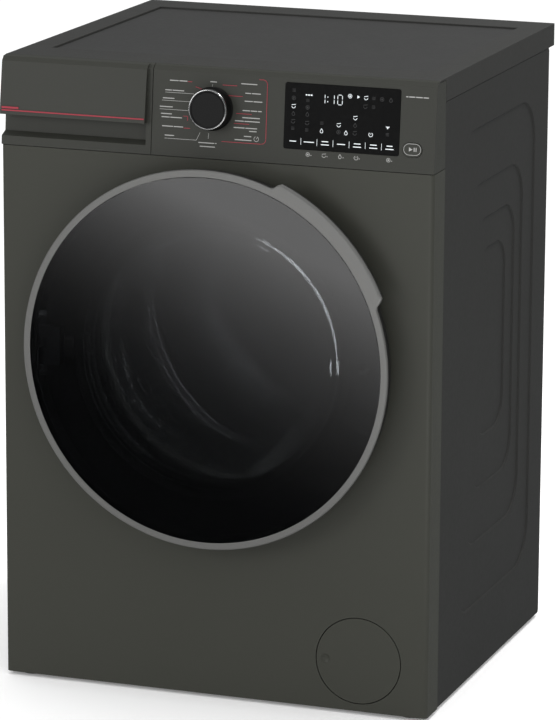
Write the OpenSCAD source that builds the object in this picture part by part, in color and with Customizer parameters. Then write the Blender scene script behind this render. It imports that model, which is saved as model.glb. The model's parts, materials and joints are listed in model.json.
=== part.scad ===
// Front load washing machine: cabinet, floating tub and drum, round door, dispenser drawer,
// programme knob, start button, pump filter behind a flap, and four levelling feet.
// Frame: X to the right, Y to the back, Z up; origin on the floor under the middle of the machine.
// Helper modules take their Y from the outer face of the front panel.

/* [Overall size] */
// Width over the side panels
machine_w = 598; // [594:1:720]
// Height from the floor to the rim of the top
machine_h = 848; // [840:1:1020]
// Depth from the door's face to the rear edge of the top
machine_d = 580; // [578:1:700]
// How far the door stands in front of the front panel
door_proud = 40; // [38:0.5:44]
// How far the top stands past the rear panel
rear_overhang = 20; // [18:1:26]
// Height of the panels' lower edge above the floor
skirt_gap = 5; // [4:0.5:6]
// Thickness of the cabinet's sheet steel
sheet_t = 1; // [0.8:0.1:1.2]
// Depth of the folded side returns of the front panel and fascia
return_d = 47; // [44:1:49]
// Visible seam between two outer panels
seam = 0.8; // [0.5:0.1:1]

/* [Door] */
// Height of the drum's axis above the floor
axis_z = 469.5; // [466:0.5:472]
// Outer radius of the door's bezel
door_r = 253; // [248:1:255]
// Width of the bright bezel around the window
bezel_w = 9.6; // [8:0.2:11]
// Thickness of the dark window disc
window_t = 5; // [4:0.5:6]
// How far the grip swells out of the bezel
grip_proud = 12; // [9:0.5:13]
// Angle where the grip starts, up from the right
grip_from = 23; // [15:1:30]
// Angle where the grip ends, up from the right
grip_to = 66; // [55:1:72]
// Air between the door's back and the front panel
door_gap = 4; // [3.5:0.1:4.5]
// Radius of the round port in the front panel
port_r = 190; // [158:1:192]
// Radius of the door's hinge pin
hinge_pin_r = 3; // [2.5:0.1:3.5]
// Running clearance of every pin and shaft
fit = 0.05; // [0.02:0.01:0.08]

/* [Drum and tub] */
// Outer radius of the drum
drum_r = 244; // [203:1:246]
// Length of the drum
drum_len = 305; // [290:1:310]
// Radial room between the drum and the tub
drum_gap = 17; // [14:1:18]
// Wall of the plastic tub
tub_wall = 4; // [3:0.5:5]
// Radius of the drum shaft
shaft_r = 15; // [12:0.5:16]
// Radius of the pulley on the drum shaft
pulley_r = 150; // [125:1:155]
// Radius of the motor's body
motor_r = 56; // [48:1:58]
// Radius of the motor's small pulley
motor_pulley_r = 10; // [9:0.5:12]
// Thickness of the drive belt
belt_t = 3; // [2:0.5:4]

/* [Fascia] */
// Height of the control fascia
fascia_h = 118; // [116:1:124]
// How far the fascia's top leans back
lean = 10; // [8:0.5:12]
// Width of the drawer's front, from the left side
drawer_w = 211; // [205:1:218]
// Height of the proud upper block of the drawer's front
block_h = 77; // [74:1:79]
// How far the drawer's tray reaches back
tray_len = 280; // [240:1:285]
// Wall of the fascia, drawer and dispenser mouldings
wall = 2.5; // [2:0.1:3]
// Radius of the programme knob's face
knob_r = 26; // [22:0.5:28]
// How far the knob stands out of the fascia
knob_h = 19; // [16:0.5:22]
// Knob's place across the machine
knob_x = -4; // [-10:1:2]
// Knob's height above the fascia's lower edge
knob_up = 65.5; // [60:0.5:68]
// Width of the display window
display_w = 156; // [150:1:160]
// Height of the display window
display_h = 85; // [80:1:88]
// Middle of the display across the machine
display_x = 173; // [171:1:176]
// Middle of the display above the fascia's lower edge
display_up = 63.5; // [61:0.5:65]
// Width of the start button
start_w = 26; // [24:0.5:28]
// Height of the start button
start_h = 18; // [16:0.5:20]

/* [Pump and feet] */
// Radius of the service flap
flap_r = 58; // [48:0.5:59]
// Gap around the service flap
flap_gap = 1.2; // [1:0.1:1.4]
// Middle of the flap, in from the machine's right side
flap_in = 95; // [92:1:98]
// Height of the flap's middle
flap_z = 74; // [72:1:76]
// Radius of the filter's bore in the pump housing
filter_r = 28; // [26:0.5:30]
// Radius of a foot's pad
foot_r = 20; // [17:0.5:21]
// Radius of a foot's threaded stem
stem_r = 5; // [4:0.5:6]

/* [Hidden] */
$fn = 96;
e = 1;                                      // how far a cut runs past the face it opens

side_x = machine_w / 2;                     // outer face of the fascia's and front panel's ends
panel_x = side_x - 0.8;                     // outer face of the side panels
in_x = panel_x - sheet_t;                   // inner face of the side panels
front_y = -machine_d / 2 + door_proud;      // outer face of the front panel
top_d = machine_d - door_proud;             // top's rear edge, from the front panel
back_d = top_d - rear_overhang;             // rear panel's outer face, from the front panel
seam_z = machine_h - fascia_h;              // joint between front panel and fascia
rim_h = 31;                                 // height of the top's side skirt
rim_z = machine_h - rim_h;                  // lower edge of that skirt
board_z = machine_h - 2.5;                  // upper face of the top board
board_t = 16;                               // thickness of the top board
board_x = side_x - 36;                      // half width of the board's recess
board_y0 = 87;                              // recess's front edge
board_y1 = top_d - 58;                      // recess's rear edge

base_z = 12;                                // underside of the base tray
base_h = 28;                                // height of the base tray
pad_h = 9;                                  // thickness of a foot's pad
foot_x = side_x - 29;
foot_y = 32;
foot_back_y = back_d - 45;

tub_in = drum_r + drum_gap;                 // tub's inner radius
tub_out = tub_in + tub_wall;
flange_r = tub_out + 7;
neck_r = port_r - 7;                        // inner radius of the tub's neck
tub_y0 = 78;                                // tub's front face
split_y = 250;                              // joint between the tub's halves
drum_y = 90;                                // drum's front edge
drum_back = drum_y + drum_len;
tub_back = drum_back + 17;                  // inner face of the tub's rear wall
hub_end = tub_back + 40;
pulley_y = hub_end + 6;
pulley_w = 14;
trough_x = 70;                              // half width of the heater trough
trough_z = axis_z - tub_out - 24;           // underside of the heater trough
motor_z = axis_z - tub_out - 18 - motor_r;  // motor's axis
heater_z = trough_z + 16;

damper_y = 225;
damper_base = [210, base_z + 34];           // x and z of a damper's lower pin
damper_top = [150, axis_z - sqrt(pow(tub_out, 2) - pow(150, 2)) - 19];
damper_l = norm(damper_top - damper_base);
damper_tilt = atan2(damper_base[0] - damper_top[0], damper_top[1] - damper_base[1]);
spring_x = in_x - 18;
spring_z = axis_z + 150;                    // top of the tub's spring lugs
brace_z = rim_z - 17;                       // underside of the cabinet braces

lean_a = atan(lean / fascia_h);             // fascia's angle from upright
drawer_x = -side_x + drawer_w;              // drawer front's right edge
block_x = drawer_x - 6.5;                   // right edge of the proud block
block_z = machine_h - block_h;
mouth_y = 24;                               // face behind the drawer's front
drawer_back = 20;                           // back of the drawer's front plate
housing_x0 = -side_x + 29;
housing_x1 = drawer_x - 17;
housing_z0 = seam_z + 8;
housing_z1 = rim_z + 5;
housing_d = 330;
housing_wall = 2;
tray_gap = 4;                               // room around the tray
stub_r = 19.8;
stub_x = (housing_x0 + housing_x1) / 2;
stub_y = 300;
stub_z = axis_z + sqrt(max(0, pow(tub_in, 2) - pow(stub_x, 2))) - 45;   // foot of the tub's stub

hinge_x = -door_r + 10;                     // door's hinge axis
hinge_y = -22;
knuckle_r = 6;
hook_x = port_r + 21.5;                     // hook's pivot
hook_y = -16;
hook_pin_r = 2;
window_r = door_r - bezel_w;
bezel_back = -door_proud + 9;
grip_ramp = 3;                              // degrees over which the grip swells out

flap_x = side_x - flap_in;
flap_hinge_x = flap_x + flap_r + 10;        // hinge axis, behind the panel and beside the flap
flap_hinge_y = 4;
flap_neck = [15, 13.4];                     // how far the flap's bent arm reaches in and back
flap_arm_h = 20;                            // height of that arm
flap_arm_t = 2.4;                           // thickness of that arm
flap_pin_r = 1.5;
recess_r = flap_r + 2.5;                    // inside of the service recess
recess_d = 34;                              // depth of the service recess
pump_y = recess_d + 76;                     // front of the pump's chamber
valve_x = -side_x + 149;
valve_z = rim_z - 32;
spout_x = side_x - 39;                      // drain hose's rear end
spout_z = rim_z - 97;
hose_r = 11;
inlet_r = 13.2;                             // water inlet's radius, over its thread
spout_len = 14;                             // how far the inlet and the drain stand past the rear panel

// Box from three [low, high] pairs, Y counted from the front panel's face
module slab(x, y, z) {
    translate([x[0], front_y + y[0], z[0]])
        cube([x[1] - x[0], y[1] - y[0], z[1] - z[0]]);
}

// Cylinders along Y, X and Z
module rod_y(x, z, r, y0, y1) {
    translate([x, front_y + y0, z]) rotate([-90, 0, 0]) cylinder(r = r, h = y1 - y0);
}
module rod_x(y, z, r, x0, x1) {
    translate([x0, front_y + y, z]) rotate([0, 90, 0]) cylinder(r = r, h = x1 - x0);
}
module rod_z(x, y, r, z0, z1) {
    translate([x, front_y + y, z0]) cylinder(r = r, h = z1 - z0);
}
module tube_z(x, y, r_out, r_in, z0, z1) {
    difference() {
        rod_z(x, y, r_out, z0, z1);
        rod_z(x, y, r_in, z0 - e, z1 + e);
    }
}
module ball(x, y, z, r) {
    translate([x, front_y + y, z]) sphere(r = r);
}

// Solid turned about the drum's axis from [radius, y] points
module turned(points, x = 0, z = axis_z, from = 0, sweep = 360) {
    translate([x, front_y, z]) rotate([-90, 0, 0]) rotate([0, 0, from])
        rotate_extrude(angle = sweep) polygon(points);
}

// Prism along X from [y, z] points
module along_x(x0, x1, points) {
    translate([x0, front_y, 0]) rotate([90, 0, 90]) linear_extrude(x1 - x0) polygon(points);
}

// Places a child on the leaning fascia: u across, v up its face, Z straight out of it
module on_fascia(u, v) {
    translate([0, front_y, seam_z]) rotate([90 - lean_a, 0, 0]) translate([u, v, 0]) children();
}

// Rounded rectangle and pill, both centred
module round_rect(w, h, r) {
    square([w - 2 * r, h], center = true);
    square([w, h - 2 * r], center = true);
    for (x = [-1, 1], y = [-1, 1])
        translate([x * (w / 2 - r), y * (h / 2 - r)]) circle(r);
}
module pill(w, h) {
    square([w - h, h], center = true);
    for (x = [-1, 1])
        translate([x * (w - h) / 2, 0]) circle(h / 2);
}

module mirrored() {
    children();
    mirror([1, 0, 0]) children();
}

// ---- Cabinet ----

module damper_ears() {
    for (s = [-1, 1]) {
        x = s * damper_base[0];
        for (y = [damper_y - 11, damper_y + 7])
            slab([x - 9, x + 9], [y, y + 4], [base_z + 3, damper_base[1] + 9]);
        rod_y(x, damper_base[1], 5, damper_y - 11, damper_y + 11);
    }
}

module base_tray() color("dimgray") {
    difference() {
        slab([-in_x, in_x], [sheet_t, back_d - sheet_t], [base_z, base_z + base_h]);
        difference() {
            slab([-in_x + 8, in_x - 8], [sheet_t + 8, back_d - 9], [base_z + 3, base_z + base_h + e]);
            for (x = [-1, 1], y = [[0, foot_y + 26], [foot_back_y - 26, back_d]])
                slab([min(x * (foot_x - 26), x * side_x), max(x * (foot_x - 26), x * side_x)],
                    y, [base_z, base_z + base_h]);
        }
        for (x = [-foot_x, foot_x], y = [foot_y, foot_back_y])
            rod_z(x, y, stem_r + fit, base_z - e, base_z + base_h + e);
        for (x = [-in_x - e, in_x - edge_r])
            slab([x, x + edge_r + e], [0, edge_r + sheet_t], [base_z - e, base_z + base_h + e]);
        rod_y(flap_x, flap_z, recess_r + 4, 0, recess_d + 5);
    }
    damper_ears();
}

// Nested stamped recesses of a side panel: front edge, rear edge, bottom, top, corner radius
stamp_step = 2.2;
stamps = [
    [118, back_d - 62, 102, rim_z - 57, 62],
    [160, back_d - 109, 187, rim_z - 135, 54],
    [196, back_d - 138, 258, rim_z - 187, 46],
    [226, back_d - 172, 326, rim_z - 231, 40]
];

module stamped(grow, deep) {
    for (i = [0:3]) {
        s = stamps[i];
        w = s[1] - s[0];
        h = s[3] - s[2];
        depth = stamp_step * (i + 1) + deep;
        translate([panel_x - depth, front_y + s[0] + w / 2, s[2] + h / 2]) rotate([90, 0, 90])
            linear_extrude(depth + (deep == 0 ? e : 0)) round_rect(w + grow, h + grow, s[4] + grow / 2);
    }
}

module side_sheet() {
    difference() {
        union() {
            slab([in_x, panel_x], [return_d + seam, back_d], [skirt_gap, rim_z]);
            stamped(2 * sheet_t, sheet_t);
        }
        stamped(0, 0);
    }
    slab([in_x - 12, panel_x], [return_d + seam, return_d + seam + sheet_t], [base_z + base_h, rim_z]);
}

module left_side_panel() color("#353533") mirror([1, 0, 0]) side_sheet();
module right_side_panel() color("#353533") side_sheet();

rear_hole_r = pulley_r + 35;
transit = [[-150, 230], [150, 230], [-150, axis_z + 230], [150, axis_z + 230]];

module rear_panel() color("#4a4a48") {
    difference() {
        slab([-in_x, in_x], [back_d - sheet_t, back_d], [base_z, rim_z]);
        rod_y(0, axis_z, rear_hole_r, back_d - 5, back_d + 5);
        for (p = transit)
            rod_y(p[0], p[1], 12, back_d - 5, back_d + 5);
        rod_y(valve_x, valve_z, inlet_r - 1, back_d - 5, back_d + 5);
        rod_y(spout_x, spout_z, hose_r - 0.8, back_d - 5, back_d + 5);
        rod_y(spout_x, spout_z - 60, 9, back_d - 5, back_d + 5);
    }
}

module rear_cover() color("#4a4a48")
    turned([[0, back_d + 6], [rear_hole_r - 8, back_d + 6], [rear_hole_r, back_d + 1],
        [rear_hole_r + 20, back_d + 1], [rear_hole_r + 20, back_d], [rear_hole_r - 0.5, back_d],
        [rear_hole_r - 8.5, back_d + 5], [0, back_d + 5]]);

edge_r = 6;                                 // rounding of the cabinet's upright front edges

// Plan of the front panel, taken in by t
module wrap_plan(t) {
    w = side_x - t;
    r = edge_r - t;
    translate([-w + r, t]) square([2 * (w - r), return_d]);
    translate([-w, t + r]) square([2 * w, return_d - r]);
    for (x = [-1, 1])
        translate([x * (w - r), t + r]) circle(r);
}

module front_panel() color("#464842") {
    top_z = seam_z - seam / 2;
    difference() {
        translate([0, front_y, skirt_gap]) linear_extrude(top_z - skirt_gap) intersection() {
            wrap_plan(0);
            translate([-side_x, 0]) square([machine_w, return_d]);
        }
        translate([0, front_y, skirt_gap - e]) linear_extrude(top_z - skirt_gap + 2 * e)
            wrap_plan(sheet_t);
        rod_y(0, axis_z, port_r, -5, 10);
        rod_y(flap_x, flap_z, flap_r + flap_gap, -5, 10);
        slab([hook_x - 9, hook_x + 14], [-5, 10], [axis_z - 6, axis_z + 6]);
    }
    slab([-side_x + edge_r, side_x - edge_r], [0.5, 16], [top_z - sheet_t, top_z]);
    slab([-side_x + 70, side_x - 160], [0.5, 10], [skirt_gap, skirt_gap + sheet_t]);
    for (x = [[-side_x + 0.5, -side_x + 14], [side_x - 14, side_x - 0.5]])
        slab(x, [return_d - sheet_t, return_d], [base_z + base_h, top_z - sheet_t]);
}

module top_frame() color("#464644") {
    y0 = drawer_back + 0.4;
    difference() {
        union() {
            slab([-side_x, side_x], [y0, top_d], [machine_h - 3, machine_h]);
            slab([-side_x, side_x], [return_d + seam, top_d], [rim_z, machine_h - 2]);
        }
        difference() {
            slab([-side_x + 3, side_x - 3], [return_d + seam - e, top_d - 3], [rim_z - e, machine_h - 3]);
            slab([-board_x - 3, board_x + 3], [board_y0 - 3, board_y1 + 3],
                [board_z - board_t - 3, machine_h]);
        }
        slab([-board_x, board_x], [board_y0, board_y1], [board_z - board_t, machine_h + e]);
        slab([-board_x + 14, board_x - 14], [board_y0 + 14, board_y1 - 14], [rim_z - e, machine_h]);
    }
}

module top_board() color("#464644")
    slab([-board_x + 0.4, board_x - 0.4], [board_y0 + 0.4, board_y1 - 0.4], [board_z - board_t, board_z]);

module cabinet_braces() color("silver") {
    z = [brace_z, brace_z + 12];
    for (x = [[-in_x, -in_x + 25], [in_x - 25, in_x]])
        slab(x, [return_d + 4, back_d - sheet_t], z);
    slab([-in_x + 20, in_x - 20], [housing_d + 20, housing_d + 50], z);
    slab([housing_x1 + 10, in_x - 20], [return_d + 4, return_d + 28], z);
}

// Outer outline of the fascia in [y, z], up to the top frame
fascia_top = machine_h - 3.4;
fascia_line = [[0, seam_z + seam / 2], [lean, machine_h - 7], [lean + 5, machine_h - 1.4],
    [drawer_back, machine_h]];

module control_panel() color("#4c4d48") {
    difference() {
        along_x(drawer_x + seam, side_x, concat(fascia_line, [[drawer_back, fascia_top],
            [return_d, fascia_top], [return_d, seam_z + seam / 2]]));
        along_x(drawer_x + seam + wall, side_x - wall, [[wall, seam_z + seam / 2 + wall],
            [lean + wall, machine_h - 8], [lean + 7, fascia_top - wall],
            [return_d + e, fascia_top - wall], [return_d + e, seam_z + seam / 2 + wall]]);
        on_fascia(display_x, display_up) translate([0, 0, -wall - 3]) linear_extrude(wall + 5)
            round_rect(display_w + 0.6, display_h + 0.6, 3);
        on_fascia(knob_x, knob_up) translate([0, 0, -10]) cylinder(r = 4, h = 12);
        on_fascia(side_x - 30, 30) translate([0, 0, -10]) linear_extrude(12)
            pill(start_w + 0.8, start_h + 0.8);
    }
    difference() {
        slab([-side_x, drawer_x + seam + 1], [mouth_y, mouth_y + wall], [seam_z + seam / 2, fascia_top]);
        slab([housing_x0 + 2, housing_x1 - 2], [mouth_y - e, mouth_y + wall + e],
            [housing_z0 + 2, housing_z1 - 2]);
    }
    slab([-side_x, -side_x + wall], [mouth_y, return_d], [seam_z + seam / 2, fascia_top]);
}

module display_window() color("#101010")
    on_fascia(display_x, display_up) translate([0, 0, -1.8]) linear_extrude(2)
        round_rect(display_w, display_h, 2.7);

module display_board() color("darkgreen") {
    difference() {
        union() {
            on_fascia(110, 62) translate([0, 0, -14]) linear_extrude(1.6) square([310, 84], center = true);
            on_fascia(knob_x, knob_up) translate([0, 0, -14]) cylinder(r = 9, h = 9);
        }
        on_fascia(knob_x, knob_up) translate([0, 0, -15]) cylinder(r = 3 + fit, h = 12);
    }
    on_fascia(display_x, display_up) translate([0, 0, -13]) linear_extrude(11.2)
        square([display_w - 20, display_h - 20], center = true);
}

module dispenser_housing() color("lightgray") {
    w = housing_wall;
    y0 = mouth_y + wall;
    difference() {
        union() {
            slab([housing_x0, housing_x1], [y0, housing_d], [housing_z0, housing_z1]);
            rod_z(stub_x, stub_y, stub_r, housing_z0 - 30, housing_z0 + 1);
        }
        slab([housing_x0 + w, housing_x1 - w], [y0 - e, housing_d - w], [housing_z0 + w, housing_z1 - w]);
        rod_z(stub_x, stub_y, stub_r - 2, housing_z0 - 31, housing_z0 + 5);
    }
}

module inlet_valve() color("whitesmoke") {
    slab([valve_x - 25, valve_x + 25], [back_d - 45, back_d - sheet_t], [valve_z - 20, valve_z + 20]);
    rod_y(valve_x, valve_z, inlet_r - 1.2, back_d - 3, back_d + 1);
    difference() {
        rod_y(valve_x, valve_z, inlet_r, back_d, back_d + spout_len);
        rod_y(valve_x, valve_z, inlet_r - 4.2, back_d + 2, back_d + spout_len + e);
    }
    rod_y(valve_x, valve_z, 6, housing_d, back_d - 44);
}

module door_lock() color("#202020") {
    difference() {
        slab([hook_x - 14.5, hook_x + 24], [sheet_t, 28], [axis_z - 26, axis_z + 26]);
        slab([hook_x - 12, hook_x + 18], [0, 22], [axis_z - 8, axis_z + 8]);
    }
}

module hinge_bracket() color("silver") {
    slab([hinge_x - 4, hinge_x + 28], [-3, 0], [axis_z - 42, axis_z + 42]);
    for (z = [axis_z - 36, axis_z + 27]) {
        slab([hinge_x - 3, hinge_x + 3], [hinge_y, -2], [z, z + 9]);
        rod_z(hinge_x, hinge_y, knuckle_r, z, z + 9);
    }
    rod_z(hinge_x, hinge_y, hinge_pin_r, axis_z - 36, axis_z + 36);
}

module door_seal() color("#55575a")
    turned([for (p = [[6, -2.5], [6, 0], [-0.2, 0], [-0.2, sheet_t], [6, sheet_t], [6, 4], [-6, 7],
        [-7, 22], [6, 33], [-6, 44], [0, 54], [0, 74], [-3, 74], [-3, 56], [-10, 45], [1, 33],
        [-10, 24], [-14, 14], [-15.5, 4], [-14, -1], [-8, -2.5]]) [port_r + p[0], p[1]]]);

module drain_pump() color("#3a3a3c") {
    x = flap_x;
    z = flap_z;
    difference() {
        union() {
            rod_y(x, z, recess_r + 3, sheet_t, recess_d + 3);
            rod_y(x, z, filter_r + 4, recess_d, pump_y + 5);
            rod_z(x, 90, 16, z, z + 60);
            rod_x(pump_y + 12, z, hose_r - 3, x - 62, x);
            for (s = [-1, 1])
                slab([x + recess_r - 8, flap_hinge_x + 3], [sheet_t + 0.4, 8],
                    [z + s * (flap_arm_h / 2 + 3) - 1.5, z + s * (flap_arm_h / 2 + 3) + 1.5]);
        }
        rod_y(x, z, recess_r, 0, recess_d);
        slab([x + 40, x + recess_r + 5], [0, flap_hinge_y + flap_neck[1] + 1.6],
            [z - flap_arm_h / 2 - 1.5, z + flap_arm_h / 2 + 1.5]);
        rod_y(x, z, filter_r, recess_d - e, pump_y);
        rod_z(x, 90, 13, z, z + 61);
    }
    difference() {
        rod_y(x, z, 40, pump_y, pump_y + 25);
        rod_x(pump_y + 12, z, hose_r - 5, x - 63, x - 20);
    }
    rod_y(x, z, 30, pump_y + 25, pump_y + 75);
    rod_z(flap_hinge_x, flap_hinge_y, flap_pin_r, z - flap_arm_h / 2 - 4, z + flap_arm_h / 2 + 4);
}

module hose_run(r) {
    rod_x(90, heater_z, r, 82, flap_x);
    ball(flap_x, 90, heater_z, r);
    rod_z(flap_x, 90, r, flap_z + 48, heater_z);
}

module sump_hose() color("#202020") {
    difference() {
        hose_run(20);
        hose_run(16.3);
        slab([70, 82], [60, 120], [heater_z - 25, heater_z + 25]);
        slab([flap_x - 25, flap_x + 25], [60, 120], [flap_z + 30, flap_z + 48]);
        rod_x(90, heater_z, 16.3, 60, 100);
        rod_z(flap_x, 90, 16.3, flap_z + 40, flap_z + 60);
    }
}

// Drain hose's corners, from the pump's outlet to the rear spout
drain_pts = [[flap_x - 45, pump_y + 12, flap_z], [flap_x - 94, pump_y + 12, flap_z],
    [flap_x - 94, back_d - 30, flap_z], [spout_x, back_d - 30, flap_z], [spout_x, back_d - 30, spout_z],
    [spout_x, back_d + spout_len, spout_z]];

module drain_run(r, past) {
    n = len(drain_pts) - 1;
    for (i = [0:n - 1]) {
        a = drain_pts[i] + [0, front_y, 0];
        step = drain_pts[i + 1] - drain_pts[i];
        d = step / norm(step);
        from = a - d * (i == 0 ? past : 0);
        len = norm(step) + (i == 0 ? past : 0) + (i == n - 1 ? past : 0);
        translate(from) rotate([0, acos(d[2]), atan2(d[1], d[0])]) cylinder(r = r, h = len);
        if (i > 0)
            translate(a) sphere(r = r);
    }
}

module drain_hose() color("#6a6a6a") {
    difference() {
        drain_run(hose_r, 0);
        drain_run(hose_r - 3, e);
        difference() {
            rod_y(spout_x, spout_z, hose_r + 5, back_d - 4, back_d);
            rod_y(spout_x, spout_z, hose_r - 1, back_d - 5, back_d + e);
        }
    }
}

module dispenser_hose() color("#202020")
    tube_z(stub_x, stub_y, stub_r + 3, stub_r + 0.2, housing_z0 - 56, housing_z0 - 6);

module transit_caps() color("#2c2c2c") {
    for (p = transit) {
        rod_y(p[0], p[1], 15, back_d, back_d + 3);
        rod_y(p[0], p[1], 12, back_d - 6, back_d + 1);
    }
}

module cable_gland() color("#202020") {
    difference() {
        union() {
            rod_y(spout_x, spout_z - 60, 12, back_d, back_d + 8);
            rod_y(spout_x, spout_z - 60, 9, back_d - 8, back_d + 1);
        }
        rod_y(spout_x, spout_z - 60, 4, back_d - 9, back_d + 9);
    }
}

// ---- Tub ----

module tub_front() color("gainsboro") {
    difference() {
        union() {
            turned([[0, tub_y0], [tub_out, tub_y0], [tub_out, split_y - 6], [flange_r, split_y - 6],
                [flange_r, split_y], [0, split_y]]);
            rod_y(0, axis_z, port_r - 3.3, 56, tub_y0 + 1);
            slab([-trough_x, trough_x], [tub_y0, split_y - 4], [trough_z, axis_z - drum_r]);
            rod_x(90, heater_z, 16, trough_x - 2, trough_x + 28);
            for (s = [-1, 1], y = [damper_y - 11, damper_y + 7])
                slab([s * damper_top[0] - 9, s * damper_top[0] + 9], [y, y + 4],
                    [damper_top[1] - 9, damper_top[1] + 60]);
            for (x = [[-spring_x - 8, -drum_r * 0.8], [drum_r * 0.8, spring_x + 8]])
                slab(x, [damper_y - 8, damper_y + 8], [spring_z - 6, spring_z]);
        }
        turned([[0, tub_y0 + tub_wall], [tub_in, tub_y0 + tub_wall], [tub_in, split_y + e],
            [0, split_y + e]]);
        rod_y(0, axis_z, neck_r, 55, tub_y0 + 10);
        slab([-trough_x + 4, trough_x - 4], [tub_y0 + 4, split_y - 8], [trough_z + 4, axis_z - drum_r]);
        slab([-38, 38], [tub_y0 - e, tub_y0 + 5], [heater_z - 9, heater_z + 9]);
        rod_x(90, heater_z, 12.5, trough_x - 10, trough_x + 29);
    }
    for (s = [-1, 1])
        rod_y(s * damper_top[0], damper_top[1], 4.5, damper_y - 11, damper_y + 11);
}

module tub_rear() color("gainsboro") {
    difference() {
        union() {
            turned([[0, split_y], [flange_r, split_y], [flange_r, split_y + 6], [tub_out, split_y + 6],
                [tub_out, tub_back + 5], [0, tub_back + 5]]);
            rod_y(0, axis_z, 38, tub_back, hub_end);
            slab([-18, 18], [split_y + 45, tub_back], [motor_z + motor_r + 3, axis_z - drum_r]);
            rod_z(stub_x, stub_y, stub_r, stub_z, housing_z0 - 46);
        }
        turned([[0, split_y - e], [tub_in, split_y - e], [tub_in, tub_back], [0, tub_back]]);
        rod_y(0, axis_z, 31, tub_back - e, tub_back + 21);
        rod_y(0, axis_z, 28, tub_back + 25, hub_end + e);
        rod_y(0, axis_z, 20, tub_back, hub_end);
        rod_z(stub_x, stub_y, stub_r - 2, stub_z - e, housing_z0 - 45);
    }
}

module upper_weight() color("#6b6b68") {
    difference() {
        slab([-90, 170], [tub_y0 + 32, split_y - 12], [axis_z + tub_out - 50, axis_z + tub_out + 45]);
        rod_y(0, axis_z, tub_out, 0, split_y);
    }
}

module front_weight() color("#6b6b68")
    turned([[port_r + 10, tub_y0 - 18], [tub_in, tub_y0 - 18], [tub_in, tub_y0], [port_r + 10, tub_y0]],
        from = 10, sweep = 160);

module heater() color("silver") {
    slab([-38, 38], [tub_y0 - 8, tub_y0 + 4], [heater_z - 9, heater_z + 9]);
    for (x = [-25, 25])
        rod_y(x, heater_z, 4, tub_y0 + 3, split_y - 45);
    translate([0, front_y + split_y - 45, heater_z]) rotate_extrude(angle = 180)
        translate([25, 0]) circle(4);
}

module drum_bearings() color("silver") {
    turned([[shaft_r + fit, tub_back + 6], [31, tub_back + 6], [31, tub_back + 21],
        [shaft_r + fit, tub_back + 21]]);
    turned([[shaft_r + fit, tub_back + 25], [28, tub_back + 25], [28, hub_end - 2],
        [shaft_r + fit, hub_end - 2]]);
}

module shaft_seal() color("#7a1f1f")
    turned([[shaft_r + fit, tub_back], [31, tub_back], [31, tub_back + 6], [shaft_r + fit, tub_back + 6]]);

module motor_housing() color("#8a8a8a") {
    y0 = split_y + 35;
    y1 = tub_back + 8;
    difference() {
        union() {
            rod_y(0, motor_z, motor_r, y0, y1);
            slab([-18, 18], [split_y + 45, tub_back], [motor_z, motor_z + motor_r + 3]);
        }
        rod_y(0, motor_z, motor_r - 22, y0 + 6, y1 - 8);
        rod_y(0, motor_z, 8 + fit, y1 - 9, y1 + e);
    }
}

// Two pulley circles joined by their tangents
module belt_outline(grow) {
    hull() {
        translate([0, axis_z]) circle(pulley_r + grow, $fn = 180);
        translate([0, motor_z]) circle(motor_pulley_r + grow, $fn = 48);
    }
}

module drive_belt() color("#181818")
    translate([0, front_y + pulley_y + pulley_w - 1, 0]) rotate([90, 0, 0]) linear_extrude(pulley_w - 2)
        difference() {
            belt_outline(0.3 + belt_t);
            belt_outline(0.3);
        }

module suspension_springs() color("#9a9a9a")
    mirrored() tube_z(spring_x, damper_y, 8, 6, spring_z, brace_z);

// ---- Drum ----

module drum_shell() color("silver")
    turned([[neck_r + 5, drum_y], [drum_r - 8, drum_y], [drum_r, drum_y + 8], [drum_r, drum_back],
        [0, drum_back], [0, drum_back - 1], [drum_r - 1, drum_back - 1], [drum_r - 1, drum_y + 8.4],
        [drum_r - 8.4, drum_y + 1], [neck_r + 5, drum_y + 1]]);

module drum_lifters() color("gray") {
    for (a = [90, 210, 330])
        translate([0, front_y, axis_z]) rotate([0, a, 0])
            translate([0, drum_back - 25, 0]) rotate([90, 0, 0]) linear_extrude(drum_len - 55)
                intersection() {
                    polygon([[drum_r - 44, -6], [drum_r - 44, 6], [drum_r, 26], [drum_r, -26]]);
                    circle(drum_r - 1);
                }
}

module drum_spider() color("silver") {
    rod_y(0, axis_z, 35, drum_back, drum_back + 13);
    rod_y(0, axis_z, shaft_r, drum_back, pulley_y + pulley_w + 4);
    for (a = [30, 150, 270])
        translate([0, front_y + drum_back, axis_z]) rotate([0, a, 0])
            translate([0, 0, -14]) cube([drum_r - 8, 11, 28]);
}

module drum_pulley() color("#777777") {
    difference() {
        rod_y(0, axis_z, pulley_r, pulley_y, pulley_y + pulley_w);
        turned([[28, pulley_y - e], [pulley_r - 8, pulley_y - e], [pulley_r - 8, pulley_y + pulley_w + e],
            [28, pulley_y + pulley_w + e]]);
        rod_y(0, axis_z, shaft_r, pulley_y - e, pulley_y + pulley_w + e);
    }
    for (a = [0:72:288])
        translate([0, front_y + pulley_y + 3, axis_z]) rotate([0, a, 0])
            translate([25, 0, -9]) cube([pulley_r - 30, 7, 18]);
}

module motor_rotor() color("#999999") {
    rod_y(0, motor_z, motor_r - 24, split_y + 50, tub_back - 10);
    rod_y(0, motor_z, 8, tub_back - 11, pulley_y + pulley_w + 1);
    rod_y(0, motor_z, motor_pulley_r, pulley_y, pulley_y + pulley_w);
}

// ---- Dampers, drawn upright about their lower pin and then leant over ----

tube_l = damper_l * 0.62;

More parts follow.
